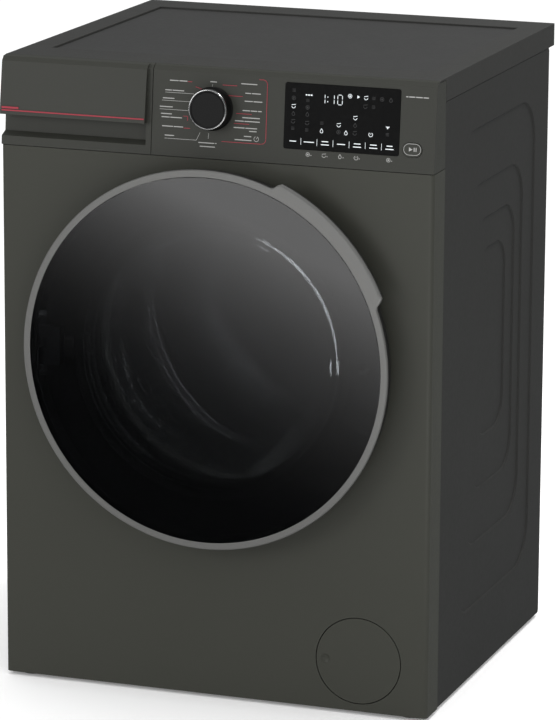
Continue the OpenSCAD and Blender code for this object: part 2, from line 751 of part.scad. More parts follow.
module damper_place(s) {
    translate([s * damper_base[0], front_y + damper_y, damper_base[1]]) rotate([0, -s * damper_tilt, 0])
        children();
}
module damper_tube() {
    difference() {
        union() {
            rotate([90, 0, 0]) cylinder(r = 9, h = 12, center = true);
            translate([-6, -6, 4]) cube([12, 12, 12]);
            translate([0, 0, 12]) cylinder(r = 12, h = tube_l - 12);
        }
        rotate([90, 0, 0]) cylinder(r = 5 + fit, h = 20, center = true);
        translate([0, 0, 20]) cylinder(r = 8 + fit, h = tube_l);
    }
}
module damper_rod() {
    difference() {
        union() {
            translate([0, 0, 45]) cylinder(r = 8, h = damper_l - 62);
            translate([-6, -6, damper_l - 19]) cube([12, 12, 14]);
            translate([0, 0, damper_l]) rotate([90, 0, 0]) cylinder(r = 10, h = 12, center = true);
        }
        translate([0, 0, damper_l]) rotate([90, 0, 0]) cylinder(r = 5.5, h = 20, center = true);
    }
}
module damper_tube_left() color("#303030") damper_place(-1) damper_tube();
module damper_tube_right() color("#303030") damper_place(1) damper_tube();
module damper_rod_left() color("silver") damper_place(-1) damper_rod();
module damper_rod_right() color("silver") damper_place(1) damper_rod();

// ---- Door ----

module door_ring() color("#727270") {
    f = -door_proud;
    turned([[window_r + 0.3, f], [door_r - 1.5, f], [door_r, f + 1.5], [door_r, bezel_back],
        [window_r - 7, bezel_back], [window_r - 7, f + window_t + 0.5],
        [window_r + 0.3, f + window_t + 0.5]]);
    from = grip_from - grip_ramp;
    to = grip_to + grip_ramp;
    outer = [for (a = [from:1:to])
        (door_r - 1 + (grip_proud + 1) * min(1, (a - from) / grip_ramp, (to - a) / grip_ramp))
            * [cos(a), sin(a)]];
    inner = [for (a = [to:-1:from]) (door_r - 5) * [cos(a), sin(a)]];
    translate([0, front_y + bezel_back - 0.5, axis_z]) rotate([90, 0, 0])
        linear_extrude(door_proud + bezel_back - 2) polygon(concat(outer, inner));
}

module door_window() color("#0b0b0b")
    rod_y(0, axis_z, window_r, -door_proud + 0.3, -door_proud + 0.3 + window_t);

module door_inner_ring() color("#161616") {
    b = bezel_back;
    g = -door_gap;
    difference() {
        turned([[door_r - 0.5, b], [door_r - 2, b + 11], [door_r - 7, g - 5], [door_r - 13, g],
            [port_r - 10, g], [port_r - 10, g - 4], [door_r - 15, g - 4], [door_r - 10, g - 8],
            [door_r - 5.5, b + 10], [door_r - 4, b]]);
        slab([-door_r - 5, hinge_x + 11], [b - e, 5], [axis_z - 44, axis_z + 44]);
        slab([hook_x - 7, hook_x + 8], [g - 8, 5], [axis_z - 3.5, axis_z + 3.5]);
    }
    for (z = [axis_z - 8, axis_z + 3.2])
        slab([hook_x - 4, hook_x + 4], [hook_y - 4, g - 3.5], [z, z + 4.8]);
    rod_z(hook_x, hook_y, hook_pin_r, axis_z - 8, axis_z + 8);
}

module door_glass() color("lightblue", 0.4) {
    g = -door_gap - 4;
    r = port_r;
    turned([[r + 2, g - 4], [r + 2, g], [r - 16, g], [r - 18, 0], [r - 22, 10], [r - 30, 40],
        [r - 42, 66], [r - 62, 80], [0, 86], [0, 81], [r - 64, 75.5], [r - 46, 62], [r - 35, 39],
        [r - 27, 9], [r - 23, -2], [r - 21.5, g - 4]]);
}

module hinge_leaf() color("silver") {
    difference() {
        union() {
            rod_z(hinge_x, hinge_y, knuckle_r, axis_z - 26, axis_z + 26);
            slab([hinge_x, hinge_x + 32], [hinge_y - 2, hinge_y + 2], [axis_z - 26, axis_z + 26]);
            slab([hinge_x + 14, hinge_x + 36], [hinge_y - 2, -door_gap - 4], [axis_z - 26, axis_z + 26]);
        }
        rod_z(hinge_x, hinge_y, hinge_pin_r + fit, axis_z - 27, axis_z + 27);
    }
}

module door_hook() color("#cccccc") {
    difference() {
        union() {
            rod_z(hook_x, hook_y, 5, axis_z - 2.5, axis_z + 2.5);
            slab([hook_x - 2.5, hook_x + 2.5], [hook_y, 16], [axis_z - 2.5, axis_z + 2.5]);
            slab([hook_x, hook_x + 8], [10, 16], [axis_z - 2.5, axis_z + 2.5]);
        }
        rod_z(hook_x, hook_y, hook_pin_r + fit, axis_z - 3, axis_z + 3);
    }
}

// ---- Drawer ----

module drawer_front() color("#4a4b46") {
    z0 = seam_z + seam / 2;
    db = drawer_back;
    difference() {
        union() {
            along_x(-side_x, block_x, [[0.1, z0], [1, seam_z + 12], [13, seam_z + 17],
                [15, block_z - 0.5], [-5.5, block_z + 0.5], [-5.2, block_z + 3], [4.5, machine_h - 7],
                [9.5, machine_h - 1.4], [db, machine_h], [db, z0]]);
            along_x(block_x - 1, drawer_x, concat(fascia_line, [[db, z0]]));
        }
        along_x(-side_x + 4, block_x - 5, [[-1, block_z + 5], [9, machine_h - 9], [db + e, machine_h - 9],
            [db + e, block_z + 5]]);
    }
}

tray_x = [housing_x0 + tray_gap, housing_x1 - tray_gap];
tray_z = [housing_z0 + tray_gap, housing_z1 - tray_gap - 6];
wash_x = tray_x[0] + 52;                    // wall between prewash and softener
soft_x = tray_x[1] - 54;                    // wall between softener and main wash

module drawer_tray() color("#d8d8d6") {
    w = 2;
    difference() {
        slab(tray_x, [drawer_back, drawer_back + tray_len], tray_z);
        for (x = [[tray_x[0] + w, wash_x], [wash_x + w, soft_x], [soft_x + w, tray_x[1] - w]])
            slab(x, [drawer_back + w, drawer_back + tray_len - w], [tray_z[0] + w, tray_z[1] + e]);
    }
}

siphon_x = (wash_x + soft_x) / 2 + 1;
module siphon_cap() color("#4a78b0") {
    slab([wash_x + 2, soft_x], [drawer_back + 208, drawer_back + 250], [tray_z[1] - 12, tray_z[1] - 9]);
    rod_z(siphon_x, drawer_back + 229, 7, tray_z[0] + 2, tray_z[1] - 10);
}

// ---- Controls ----

module programme_knob() color("#181818") {
    on_fascia(knob_x, knob_up) {
        translate([0, 0, -12]) cylinder(r = 3, h = 14);
        rotate_extrude() polygon([[0, 0.4], [knob_r + 2.5, 0.4], [knob_r + 2.5, 3], [knob_r + 1, 5],
            [knob_r + 0.5, knob_h - 2], [knob_r - 1, knob_h], [knob_r - 3, knob_h], [knob_r - 4, knob_h - 1],
            [0, knob_h - 1]]);
    }
}

module start_button() color("#55564f") {
    on_fascia(side_x - 30, 30) {
        translate([0, 0, -2]) linear_extrude(2.8) pill(start_w, start_h);
        translate([0, 0, -10]) cylinder(r = 3, h = 9);
    }
}

// ---- Pump filter and flap ----

module filter_flap() color("#464842") {
    hx = flap_hinge_x;
    hy = flap_hinge_y;
    t = flap_arm_t;
    z = [flap_z - flap_arm_h / 2, flap_z + flap_arm_h / 2];
    in = hx - flap_neck[0];
    deep = hy + flap_neck[1];
    difference() {
        union() {
            rod_y(flap_x, flap_z, flap_r, 0, 2.5);
            rod_z(hx, hy, flap_pin_r + 1.1, z[0], z[1]);
            slab([hx - t / 2, hx + t / 2], [hy, deep], z);
            slab([in, hx + t / 2], [deep - t, deep], z);
            slab([in, in + t], [2, deep], z);
        }
        rod_z(hx, hy, flap_pin_r + fit, z[0] - e, z[1] + e);
        ball(flap_x - 45.6, -8, flap_z - 1, 10.5);
    }
}

groove_y = recess_d + 10;                   // filter's seal groove

module pump_filter() color("#d0d0cc") {
    r = filter_r - fit;
    turned([[0, recess_d - 0.5], [filter_r + 6, recess_d - 0.5], [filter_r + 6, recess_d - 6],
        [filter_r + 3, recess_d - 9], [0, recess_d - 9]], x = flap_x, z = flap_z);
    slab([flap_x - 4, flap_x + 4], [recess_d - 18, recess_d - 8], [flap_z - 24, flap_z + 24]);
    difference() {
        rod_y(flap_x, flap_z, r, recess_d - 1, pump_y - 4);
        turned([[r - 2.2, groove_y], [r + 1, groove_y], [r + 1, groove_y + 4], [r - 2.2, groove_y + 4]],
            x = flap_x, z = flap_z);
        rod_y(flap_x, flap_z, r - 4, groove_y + 10, pump_y);
        for (a = [0:60:300])
            translate([flap_x, front_y + groove_y + 16, flap_z]) rotate([0, a, 0])
                translate([10, 0, -5]) cube([r, 36, 10]);
    }
}

module filter_seal() color("#101010")
    turned([[filter_r - 2.1, groove_y + 0.3], [filter_r - 0.1, groove_y + 0.3],
        [filter_r - 0.1, groove_y + 3.7], [filter_r - 2.1, groove_y + 3.7]], x = flap_x, z = flap_z);

// ---- Feet ----

module foot(x, y) color("#141414") {
    rod_z(x, y, foot_r, 0, pad_h - 3);
    translate([x, front_y + y, pad_h - 3]) cylinder(r1 = foot_r, r2 = foot_r - 6, h = 3);
    rod_z(x, y, stem_r, pad_h - 1, base_z + base_h + 6);
}
module foot_front_left() foot(-foot_x, foot_y);
module foot_front_right() foot(foot_x, foot_y);
module foot_rear_left() foot(-foot_x, foot_back_y);
module foot_rear_right() foot(foot_x, foot_back_y);

base_tray();
left_side_panel();
right_side_panel();
rear_panel();
rear_cover();
front_panel();
top_frame();
top_board();
cabinet_braces();
control_panel();
display_window();
display_board();
dispenser_housing();
inlet_valve();
door_lock();
hinge_bracket();
door_seal();
drain_pump();
sump_hose();
drain_hose();
dispenser_hose();
transit_caps();
cable_gland();
tub_front();
tub_rear();
upper_weight();
front_weight();
heater();
drum_bearings();
shaft_seal();
motor_housing();
drive_belt();
suspension_springs();
drum_shell();
drum_lifters();
drum_spider();
drum_pulley();
motor_rotor();
damper_tube_left();
damper_rod_left();
damper_tube_right();
damper_rod_right();
door_ring();
door_window();
door_inner_ring();
door_glass();
hinge_leaf();
door_hook();
drawer_front();
drawer_tray();
siphon_cap();
programme_knob();
start_button();
filter_flap();
pump_filter();
filter_seal();
foot_front_left();
foot_front_right();
foot_rear_left();
foot_rear_right();
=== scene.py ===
"""Looks of a front load washing machine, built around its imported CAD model."""

import json
from math import atan2, cos, hypot, pi, radians, sin, tau

import bmesh
import bpy
from mathutils import Matrix, Vector


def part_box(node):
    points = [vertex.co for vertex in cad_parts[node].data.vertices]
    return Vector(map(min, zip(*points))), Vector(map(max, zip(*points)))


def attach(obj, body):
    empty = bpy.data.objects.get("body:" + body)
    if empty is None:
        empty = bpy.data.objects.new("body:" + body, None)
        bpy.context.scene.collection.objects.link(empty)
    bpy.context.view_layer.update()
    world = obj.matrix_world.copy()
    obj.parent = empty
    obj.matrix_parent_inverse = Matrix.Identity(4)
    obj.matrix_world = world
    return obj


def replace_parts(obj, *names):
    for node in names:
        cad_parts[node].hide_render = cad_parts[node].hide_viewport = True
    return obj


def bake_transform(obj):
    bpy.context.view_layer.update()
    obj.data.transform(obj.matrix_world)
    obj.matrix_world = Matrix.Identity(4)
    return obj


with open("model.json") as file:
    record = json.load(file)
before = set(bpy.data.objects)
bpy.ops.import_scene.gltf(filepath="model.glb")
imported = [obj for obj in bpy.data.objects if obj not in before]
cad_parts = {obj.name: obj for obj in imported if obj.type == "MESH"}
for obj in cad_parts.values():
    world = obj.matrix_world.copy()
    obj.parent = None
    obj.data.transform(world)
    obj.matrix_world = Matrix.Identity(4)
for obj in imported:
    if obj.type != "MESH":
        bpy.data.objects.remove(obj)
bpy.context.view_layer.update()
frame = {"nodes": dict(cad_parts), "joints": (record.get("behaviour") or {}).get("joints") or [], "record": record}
nodes = frame["nodes"]
joints = {joint["name"]: joint for joint in frame["joints"]}

MM = 0.001
SKIN = 0.00006                      # how far a printed mark stands off its surface
TOUCHING = 0.000001                 # vertices this close are one

# ---- Places taken from the frame ----

front_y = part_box("front_panel")[0].y
drum_axis = Vector(joints["drum_spin"]["pos_m"])
knob_spot = Vector(joints["knob_turn"]["pos_m"])
out_of_fascia = Vector(joints["knob_turn"]["axis"])
up_fascia = out_of_fascia.cross(Vector((1, 0, 0)))
fascia_frame = Matrix.Translation(knob_spot) @ Matrix((
    Vector((1, 0, 0)), up_fascia, out_of_fascia)).transposed().to_4x4()


def middle(node):
    """Middle of a CAD node's box."""
    low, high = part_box(node)
    return (low + high) / 2


def reach(node, centre, direction):
    """How far a CAD node reaches from a point along a direction."""
    return max((v.co - centre).dot(direction) for v in nodes[node].data.vertices)


def round_drum(radius, y, degrees):
    """A place round the drum's axis, its angle counted up from the right."""
    turn = radians(degrees)
    return Vector((radius * cos(turn), y, drum_axis.z + radius * sin(turn)))


# ---- Shader nodes ----

def add_node(tree, kind, inputs=(), **settings):
    """A shader node with its settings, its inputs given as values or as sockets to link."""
    node = tree.nodes.new("ShaderNode" + kind)
    for label, value in settings.items():
        setattr(node, label, value)
    for label, value in dict(inputs).items():
        if isinstance(value, bpy.types.NodeSocket):
            tree.links.new(value, node.inputs[label])
        else:
            node.inputs[label].default_value = value
    return node


def math_node(tree, operation, *values):
    """The outcome of a Math node whose inputs are numbers or sockets."""
    return add_node(tree, "Math", enumerate(values), operation=operation).outputs[0]


def ramp(tree, value, start, end, low=0, high=1, **settings):
    """A value spread over a range, from low at its start to high at its end."""
    inputs = {"Value": value, "From Min": start, "From Max": end, "To Min": low, "To Max": high}
    return add_node(tree, "MapRange", inputs, **settings).outputs["Result"]


def noise_node(tree, place, scale, detail):
    inputs = {"Vector": place, "Scale": scale, "Detail": detail}
    return add_node(tree, "TexNoise", inputs).outputs["Fac"]

# ---- Camera, light and floor ----

ROOM_GLOW = 0.22                    # how bright the room looks in mirrors
CAMERA_LENS = 209.7
CAMERA_PLACE = (1.890, -5.245, 1.728)
CAMERA_TURN = (76.68, -0.30, 19.89)

# The dim lamps in the drum's mouth
LAMP_ANGLES = (75, 62, 48, 33, 18, 3, -12)
LAMP_RING_R = 0.152
LAMP_SETBACK = 0.125
LAMP_POWER = 0.11

# The mirror card's glow: it grows along a slope, and fades out round a spot
CARD_Z = 0.02
CARD_SLOPE = (0.5, -0.445, 0)
CARD_DARK, CARD_FULL = 0.34, 0.92
CARD_CURVE = 2.7
CARD_GLOW = 2.9
CARD_SPOT = (-0.6, -2.3, CARD_Z)
CARD_NEAR, CARD_FAR = 1.5, 3.1


def add_camera():
    data = bpy.data.cameras.new("camera")
    data.lens = CAMERA_LENS
    data.clip_end = 100
    camera = bpy.data.objects.new("camera", data)
    camera.location = CAMERA_PLACE
    camera.rotation_euler = [radians(angle) for angle in CAMERA_TURN]
    bpy.context.scene.collection.objects.link(camera)
    bpy.context.scene.camera = camera


def add_area_light(name, place, target, size, power):
    data = bpy.data.lights.new(name, "AREA")
    data.shape = "DISK"
    data.size = size
    data.energy = power
    light = bpy.data.objects.new(name, data)
    light.location = place
    light.rotation_euler = (Vector(target) - Vector(place)).to_track_quat("-Z", "Y").to_euler()
    bpy.context.scene.collection.objects.link(light)


def add_drum_lamps():
    """A row of dim lamps inside the drum's mouth, seen as an arc of light through the dark window."""
    for number, degrees in enumerate(LAMP_ANGLES):
        data = bpy.data.lights.new(f"drum_lamp_{number}", "POINT")
        data.energy = LAMP_POWER
        data.shadow_soft_size = 0.02
        lamp = bpy.data.objects.new(f"drum_lamp_{number}", data)
        lamp.location = round_drum(LAMP_RING_R, drum_axis.y + LAMP_SETBACK, degrees)
        bpy.context.scene.collection.objects.link(lamp)


def add_world():
    """White to the eye and to matt surfaces, and a dim room to mirrors."""
    world = bpy.data.worlds.new("studio")
    bpy.context.scene.world = world
    world.use_nodes = True
    tree = world.node_tree
    tree.nodes.clear()
    path = add_node(tree, "LightPath")
    white = add_node(tree, "Background", {"Color": (1, 1, 1, 1), "Strength": 1.0})
    room = add_node(tree, "Background", {"Color": (0.95, 0.98, 1, 1), "Strength": ROOM_GLOW})
    mix = add_node(tree, "MixShader", {
        "Fac": path.outputs["Is Glossy Ray"], 1: white.outputs[0], 2: room.outputs[0]})
    add_node(tree, "OutputWorld", {"Surface": mix.outputs[0]})


def plane_object(name, low, high, z):
    """A level rectangle from two [x, y] corners."""
    bm = bmesh.new()
    bmesh.ops.create_grid(bm, x_segments=1, y_segments=1, size=0.5)
    bmesh.ops.scale(bm, vec=(high[0] - low[0], high[1] - low[1], 1), verts=bm.verts)
    centre = ((low[0] + high[0]) / 2, (low[1] + high[1]) / 2, z)
    bmesh.ops.translate(bm, vec=centre, verts=bm.verts)
    mesh = bpy.data.meshes.new(name)
    bm.to_mesh(mesh)
    bm.free()
    obj = bpy.data.objects.new(name, mesh)
    bpy.context.scene.collection.objects.link(obj)
    return obj


def add_floor():
    floor = plane_object("floor", (-25, -25), (25, 25), 0)
    floor.visible_glossy = False
    material = bpy.data.materials.new("pale_floor")
    material.use_nodes = True
    shader = material.node_tree.nodes["Principled BSDF"]
    shader.inputs["Base Color"].default_value = (0.93, 0.93, 0.93, 1)
    shader.inputs["Emission Color"].default_value = (1, 1, 1, 1)
    shader.inputs["Emission Strength"].default_value = 0.16
    shader.inputs["Roughness"].default_value = 0.9
    floor.data.materials.append(material)


def add_mirror_card():
    """A graded glow in front of the machine that only mirrors see, so that the window shades off."""
    card = plane_object("mirror_card", (-4, -7), (3, -0.5), CARD_Z)
    for way in ("camera", "diffuse", "transmission", "volume_scatter", "shadow"):
        setattr(card, "visible_" + way, False)
    material = bpy.data.materials.new("graded_glow")
    material.use_nodes = True
    tree = material.node_tree
    tree.nodes.clear()
    place = add_node(tree, "TexCoord").outputs["Object"]
    slope = add_node(tree, "VectorMath", {0: place, 1: CARD_SLOPE}, operation="DOT_PRODUCT")
    curve = math_node(tree, "POWER", ramp(tree, slope.outputs["Value"], CARD_DARK, CARD_FULL), CARD_CURVE)
    away = add_node(tree, "VectorMath", {0: place, 1: CARD_SPOT}, operation="DISTANCE")
    fade = ramp(tree, away.outputs["Value"], CARD_NEAR, CARD_FAR, 1, 0, interpolation_type="SMOOTHSTEP")
    blend = add_node(tree, "Mix", {
        "Factor": fade, "A": ROOM_GLOW, "B": math_node(tree, "MULTIPLY", curve, CARD_GLOW)})
    glow = add_node(tree, "Emission", {"Strength": blend.outputs["Result"]})
    add_node(tree, "OutputMaterial", {"Surface": glow.outputs[0]})
    card.data.materials.append(material)


bpy.context.scene.view_settings.view_transform = "Standard"
add_camera()
add_world()
add_floor()
add_mirror_card()
add_area_light("key_light", (-2.6, -4.0, 1.9), (0, 0, 0.4), 2.2, 50)
add_area_light("top_light", (0.4, -0.4, 3.6), (0, 0, 0.8), 2.5, 20)
add_area_light("side_light", (0.95, 0.9, 2.6), (0.3, 0, 0.4), 0.5, 26)
add_drum_lamps()


# ---- Shared effects ----

def node_group(name, inputs, outputs):
    """A shader node group with named sockets, and its input and output nodes."""
    group = bpy.data.node_groups.new(name, "ShaderNodeTree")
    for label, kind, value in inputs:
        socket = group.interface.new_socket(label, in_out="INPUT", socket_type=kind)
        socket.default_value = value
    for label, kind in outputs:
        group.interface.new_socket(label, in_out="OUTPUT", socket_type=kind)
    return group, group.nodes.new("NodeGroupInput"), group.nodes.new("NodeGroupOutput")


def toned(tree, color, value):
    """The colour with its brightness multiplied."""
    return add_node(tree, "HueSaturation", {"Color": color, "Value": value}).outputs["Color"]


COLOR, FLOAT, VECTOR = "NodeSocketColor", "NodeSocketFloat", "NodeSocketVector"
LOOK = [("Color", COLOR), ("Roughness", FLOAT), ("Height", FLOAT)]
DUST_COLOR = (0.45, 0.44, 0.42, 1)


def send_look(group, given, result, first, second, height):
    """Lets two patterns sway the tone and the gloss, and sends the look out of its group."""
    both = math_node(group, "SUBTRACT", math_node(group, "ADD", first, second), 1.0)
    tone = math_node(group, "MULTIPLY_ADD", both, given.outputs["Tone"], 1.0)
    gloss = math_node(group, "MULTIPLY_ADD", both, given.outputs["Gloss Drift"],
                      given.outputs["Roughness"])
    group.links.new(toned(group, given.outputs["Color"], tone), result.inputs["Color"])
    group.links.new(gloss, result.inputs["Roughness"])
    group.links.new(height, result.inputs["Height"])
    return group


def make_fine_grain():
    """Powder coat or moulded grain: a fine pebble, with slow drifts in tone and gloss."""
    group, given, result = node_group("fine grain", [
        ("Color", COLOR, (0.5, 0.5, 0.5, 1)), ("Grain", FLOAT, 900), ("Tone", FLOAT, 0.06),
        ("Roughness", FLOAT, 0.5), ("Gloss Drift", FLOAT, 0.1)], LOOK)
    place = add_node(group, "TexCoord").outputs["Object"]
    drift = noise_node(group, place, 5.0, 3.0)
    mottle = noise_node(group, place, 160.0, 2.0)
    pebble = noise_node(group, place, given.outputs["Grain"], 2.0)
    return send_look(group, given, result, drift, mottle, pebble)


def make_brushed():
    """Drawn or rolled metal: fine streaks, stretched by a scale for each axis."""
    group, given, result = node_group("brushed", [
        ("Color", COLOR, (0.6, 0.6, 0.6, 1)), ("Streaks", VECTOR, (40, 900, 900)),
        ("Tone", FLOAT, 0.2), ("Roughness", FLOAT, 0.3), ("Gloss Drift", FLOAT, 0.2)], LOOK)
    place = add_node(group, "TexCoord").outputs["Object"]
    stretch = add_node(group, "Mapping", {"Vector": place, "Scale": given.outputs["Streaks"]})
    streak = noise_node(group, stretch.outputs["Vector"], 1.0, 4.0)
    cloud = noise_node(group, place, 14.0, 3.0)
    return send_look(group, given, result, streak, cloud, streak)


def make_dust():
    """Pale dust that settles in patches on faces that look up."""
    group, given, result = node_group("settled dust", [
        ("Color", COLOR, (0.5, 0.5, 0.5, 1)), ("Roughness", FLOAT, 0.5), ("Amount", FLOAT, 0.1)],
        LOOK[:2])
    place = add_node(group, "TexCoord")
    split = add_node(group, "SeparateXYZ", {0: place.outputs["Normal"]})
    facing_up = math_node(group, "MAXIMUM", split.outputs["Z"], 0.0)
    patch = noise_node(group, place.outputs["Object"], 25.0, 6.0)
    mask = math_node(group, "MULTIPLY", math_node(group, "MULTIPLY", facing_up, patch),
                     given.outputs["Amount"])
    # Inputs 6 and 7 of a Mix node are its two colours
    mix = add_node(group, "Mix", {"Factor": mask, 6: given.outputs["Color"], 7: DUST_COLOR},
                   data_type="RGBA")
    rough = math_node(group, "MULTIPLY_ADD", mask, 0.5, given.outputs["Roughness"])
    group.links.new(mix.outputs[2], result.inputs["Color"])
    group.links.new(rough, result.inputs["Roughness"])
    return group


fine_grain = make_fine_grain()
brushed = make_brushed()
settled_dust = make_dust()


# ---- Finishes ----

def finish(name, effect, color, settings, bump, dust, shader_values):
    """A Principled material fed by one shared effect, with settled dust over it if it gathers any."""
    material = bpy.data.materials.new(name)
    material.use_nodes = True
    tree = material.node_tree
    shader = tree.nodes["Principled BSDF"]
    look = add_node(tree, "Group", {"Color": (*color, 1), **settings}, node_tree=effect)
    source = look
    if dust:
        look_under = {label: look.outputs[label] for label in ("Color", "Roughness")}
        source = add_node(tree, "Group", {**look_under, "Amount": dust}, node_tree=settled_dust)
    relief = add_node(tree, "Bump", {
        "Strength": bump[0], "Distance": bump[1] * MM, "Height": look.outputs["Height"]})
    tree.links.new(source.outputs["Color"], shader.inputs["Base Color"])
    tree.links.new(source.outputs["Roughness"], shader.inputs["Roughness"])
    tree.links.new(relief.outputs["Normal"], shader.inputs["Normal"])
    for label, value in shader_values.items():
        shader.inputs[label].default_value = value
    return material


def plastic(name, color, rough, grain=1400, relief=0.12, tone=0.05, dust=0.0, **values):
    settings = {"Grain": grain, "Tone": tone, "Roughness": rough, "Gloss Drift": 0.08}
    return finish(name, fine_grain, color, settings, (0.5, relief), dust, values)


def metal(name, color, rough, streaks, tone=0.15, **values):
    settings = {"Streaks": streaks, "Tone": tone, "Roughness": rough, "Gloss Drift": 0.12}
    return finish(name, brushed, color, settings, (0.25, 0.05), 0.0, {"Metallic": 1.0, **values})


def glass(name, color):
    """Clear or tinted glass, all but smooth."""
    settings = {"Grain": 60, "Tone": 0.05, "Roughness": 0.015, "Gloss Drift": 0.0}
    return finish(name, fine_grain, color, settings, (0.0, 0.005), 0.0,
                  {"Transmission Weight": 1.0, "IOR": 1.5})


def printed(name, color, glow=0.0):
    """A flat ink or a lit segment."""
    values = {"Emission Color": (*color, 1), "Emission Strength": glow}
    return finish(name, fine_grain, color, {"Grain": 3000, "Tone": 0.1, "Roughness": 0.55},
                  (0.1, 0.02), 0.0, values)


GREY_PAINT = (0.041, 0.042, 0.0345)
SATIN = {"Specular IOR Level": 0.2}
finishes = {
    "body_steel": plastic("satin_grey_paint", GREY_PAINT, 0.42, 700, 0.05, 0.04, **SATIN),
    # The side paint is the front's grey paint made darker: painted shade, standing for the weaker light on the
    # machine's sides.
    "side_steel": plastic("shaded_side_grey_paint", (0.026, 0.026, 0.0245), 0.5, 700, 0.05, 0.04, **SATIN),
    "top_plastic": plastic("grained_top_plastic", (0.030, 0.030, 0.028), 0.5, 1600, 0.15, 0.05, 0.02,
                          **SATIN),
    "board": plastic("painted_top_board", (0.029, 0.029, 0.028), 0.46, 350, 0.06, 0.05, 0.02,
                     **SATIN),
    "fascia": plastic("satin_fascia_plastic", (0.0355, 0.0365, 0.031), 0.45, 1800, 0.05, 0.04, **SATIN),
    "display_glass": plastic("display_glass", (0.003, 0.003, 0.003), 0.2, 300, 0.01, 0.1, **SATIN),
    "bezel": plastic("metallic_bezel_paint", (0.145, 0.145, 0.14), 0.36, 4000, 0.02, 0.05,
                     Metallic=0.35),
    "door_window": glass("smoked_window", (0.045, 0.047, 0.05)),
    "door_black": plastic("black_door_plastic", (0.012, 0.012, 0.012), 0.5, 1500, 0.1, 0.1, 0.05),
    "bowl_glass": glass("clear_bowl_glass", (0.9, 0.93, 0.92)),
    "zinc": metal("zinc_plate", (0.52, 0.53, 0.55), 0.38, (300, 300, 300)),
    "stainless": metal("rolled_stainless", (0.60, 0.60, 0.61), 0.24, (900, 60, 900)),
    "cast": plastic("raw_casting", (0.11, 0.11, 0.105), 0.85, 220, 1.0, 0.25, 0.2),
    "alloy": metal("die_cast_alloy", (0.42, 0.43, 0.44), 0.5, (180, 180, 180), 0.2),
    "tub_plastic": plastic("moulded_tub_plastic", (0.55, 0.55, 0.52), 0.5, 500, 0.2, 0.08, 0.1),
    "black_plastic": plastic("moulded_black_plastic", (0.016, 0.016, 0.017), 0.55, 1100, 0.15, 0.15,
                             0.12),
    "white_plastic": plastic("moulded_white_plastic", (0.60, 0.60, 0.58), 0.4, 900, 0.05, 0.04, 0.04),
    "blue_plastic": plastic("moulded_blue_plastic", (0.06, 0.16, 0.38), 0.4, 900, 0.05, 0.05),
    "seal_rubber": plastic("soft_grey_rubber", (0.10, 0.105, 0.11), 0.6, 1800, 0.1, 0.1, 0.1),
    "black_rubber": plastic("black_rubber", (0.012, 0.012, 0.012), 0.65, 1500, 0.2, 0.2, 0.2),
    "circuit": plastic("circuit_board", (0.02, 0.09, 0.04), 0.4, 500, 0.1, 0.2),
    "knob_black": plastic("satin_black_knob", (0.005, 0.005, 0.005), 0.45, 2500, 0.05, 0.1, **SATIN),
}
chrome = metal("satin_chrome", (0.42, 0.42, 0.42), 0.24, (600, 600, 600), 0.04)
light_ink = printed("light_print", (0.34, 0.34, 0.33))
red_ink = printed("red_print", (0.30, 0.012, 0.03))
lit_segment = printed("lit_segment", (0.55, 0.58, 0.60), 0.55)
dim_segment = printed("dim_segment", (0.02, 0.02, 0.021))

# Width of each CAD node's rounded edges, in millimetres, where it isn't the usual one
EDGE = {
    "front_panel": 0.3, "control_panel": 0.9, "drawer_front": 0.9, "top_frame": 0.8, "top_board": 1.2,
    "display_window": 0.15, "start_button": 0.35, "filter_flap": 0.5, "programme_knob": 0.3,
    "upper_weight": 4, "front_weight": 3, "motor_housing": 2, "drawer_tray": 0.5, "drum_lifters": 3,
    "door_window": 0.25, "base_tray": 1, "drum_spider": 3, "dispenser_housing": 0.6,
}
USUAL_EDGE = 0.4


def shade_evenly(obj):
    """Lets the large faces lead the shading, and keeps sharp edges."""
    even = obj.modifiers.new("even shading", "WEIGHTED_NORMAL")
    even.keep_sharp = True


def dress_cad_nodes():
    """Gives every CAD node its finish and rounds its sharp edges."""
    for part in frame["record"]["subparts"]:
        obj = nodes[part["node"]]
        for place in obj.material_slots:
            place.material = finishes[part["material_slot"]]
        merge = obj.modifiers.new("merge", "WELD")
        merge.merge_threshold = 2 * TOUCHING
        flat = obj.modifiers.new("whole flats", "DECIMATE")
        flat.decimate_type = "DISSOLVE"
        flat.angle_limit = radians(0.4)
        bevel = obj.modifiers.new("rounded edges", "BEVEL")
        bevel.width = EDGE.get(part["node"], USUAL_EDGE) * MM
        bevel.segments = 2
        bevel.limit_method = "ANGLE"
        bevel.angle_limit = radians(35)
        shade_evenly(obj)


dress_cad_nodes()


# ---- Making pieces ----

def piece(name, slot, build, body=None, material=None, sharp=40, merge=True):
    """A new piece: build draws it in a bmesh, and it rides on a body if one is given."""
    bm = bmesh.new()
    build(bm)
    if merge:
        bmesh.ops.remove_doubles(bm, verts=bm.verts, dist=TOUCHING)
        bmesh.ops.recalc_face_normals(bm, faces=bm.faces)
    mesh = bpy.data.meshes.new(name)
    bm.to_mesh(mesh)
    bm.free()
    mesh.shade_smooth()
    mesh.set_sharp_from_angle(angle=radians(sharp))
    mesh.materials.append(material or finishes[slot])
    obj = bpy.data.objects.new(name, mesh)
    bpy.context.scene.collection.objects.link(obj)
    if body:
        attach(obj, body)
    return obj


def chain(bm, points, closed=False):
    """Vertices joined in a line, or in a ring."""
    verts = [bm.verts.new(p) for p in points]
    pairs = list(zip(verts, verts[1:]))
    if closed:
        pairs.append((verts[-1], verts[0]))
    edges = [bm.edges.new(pair) for pair in pairs]
    return verts + edges


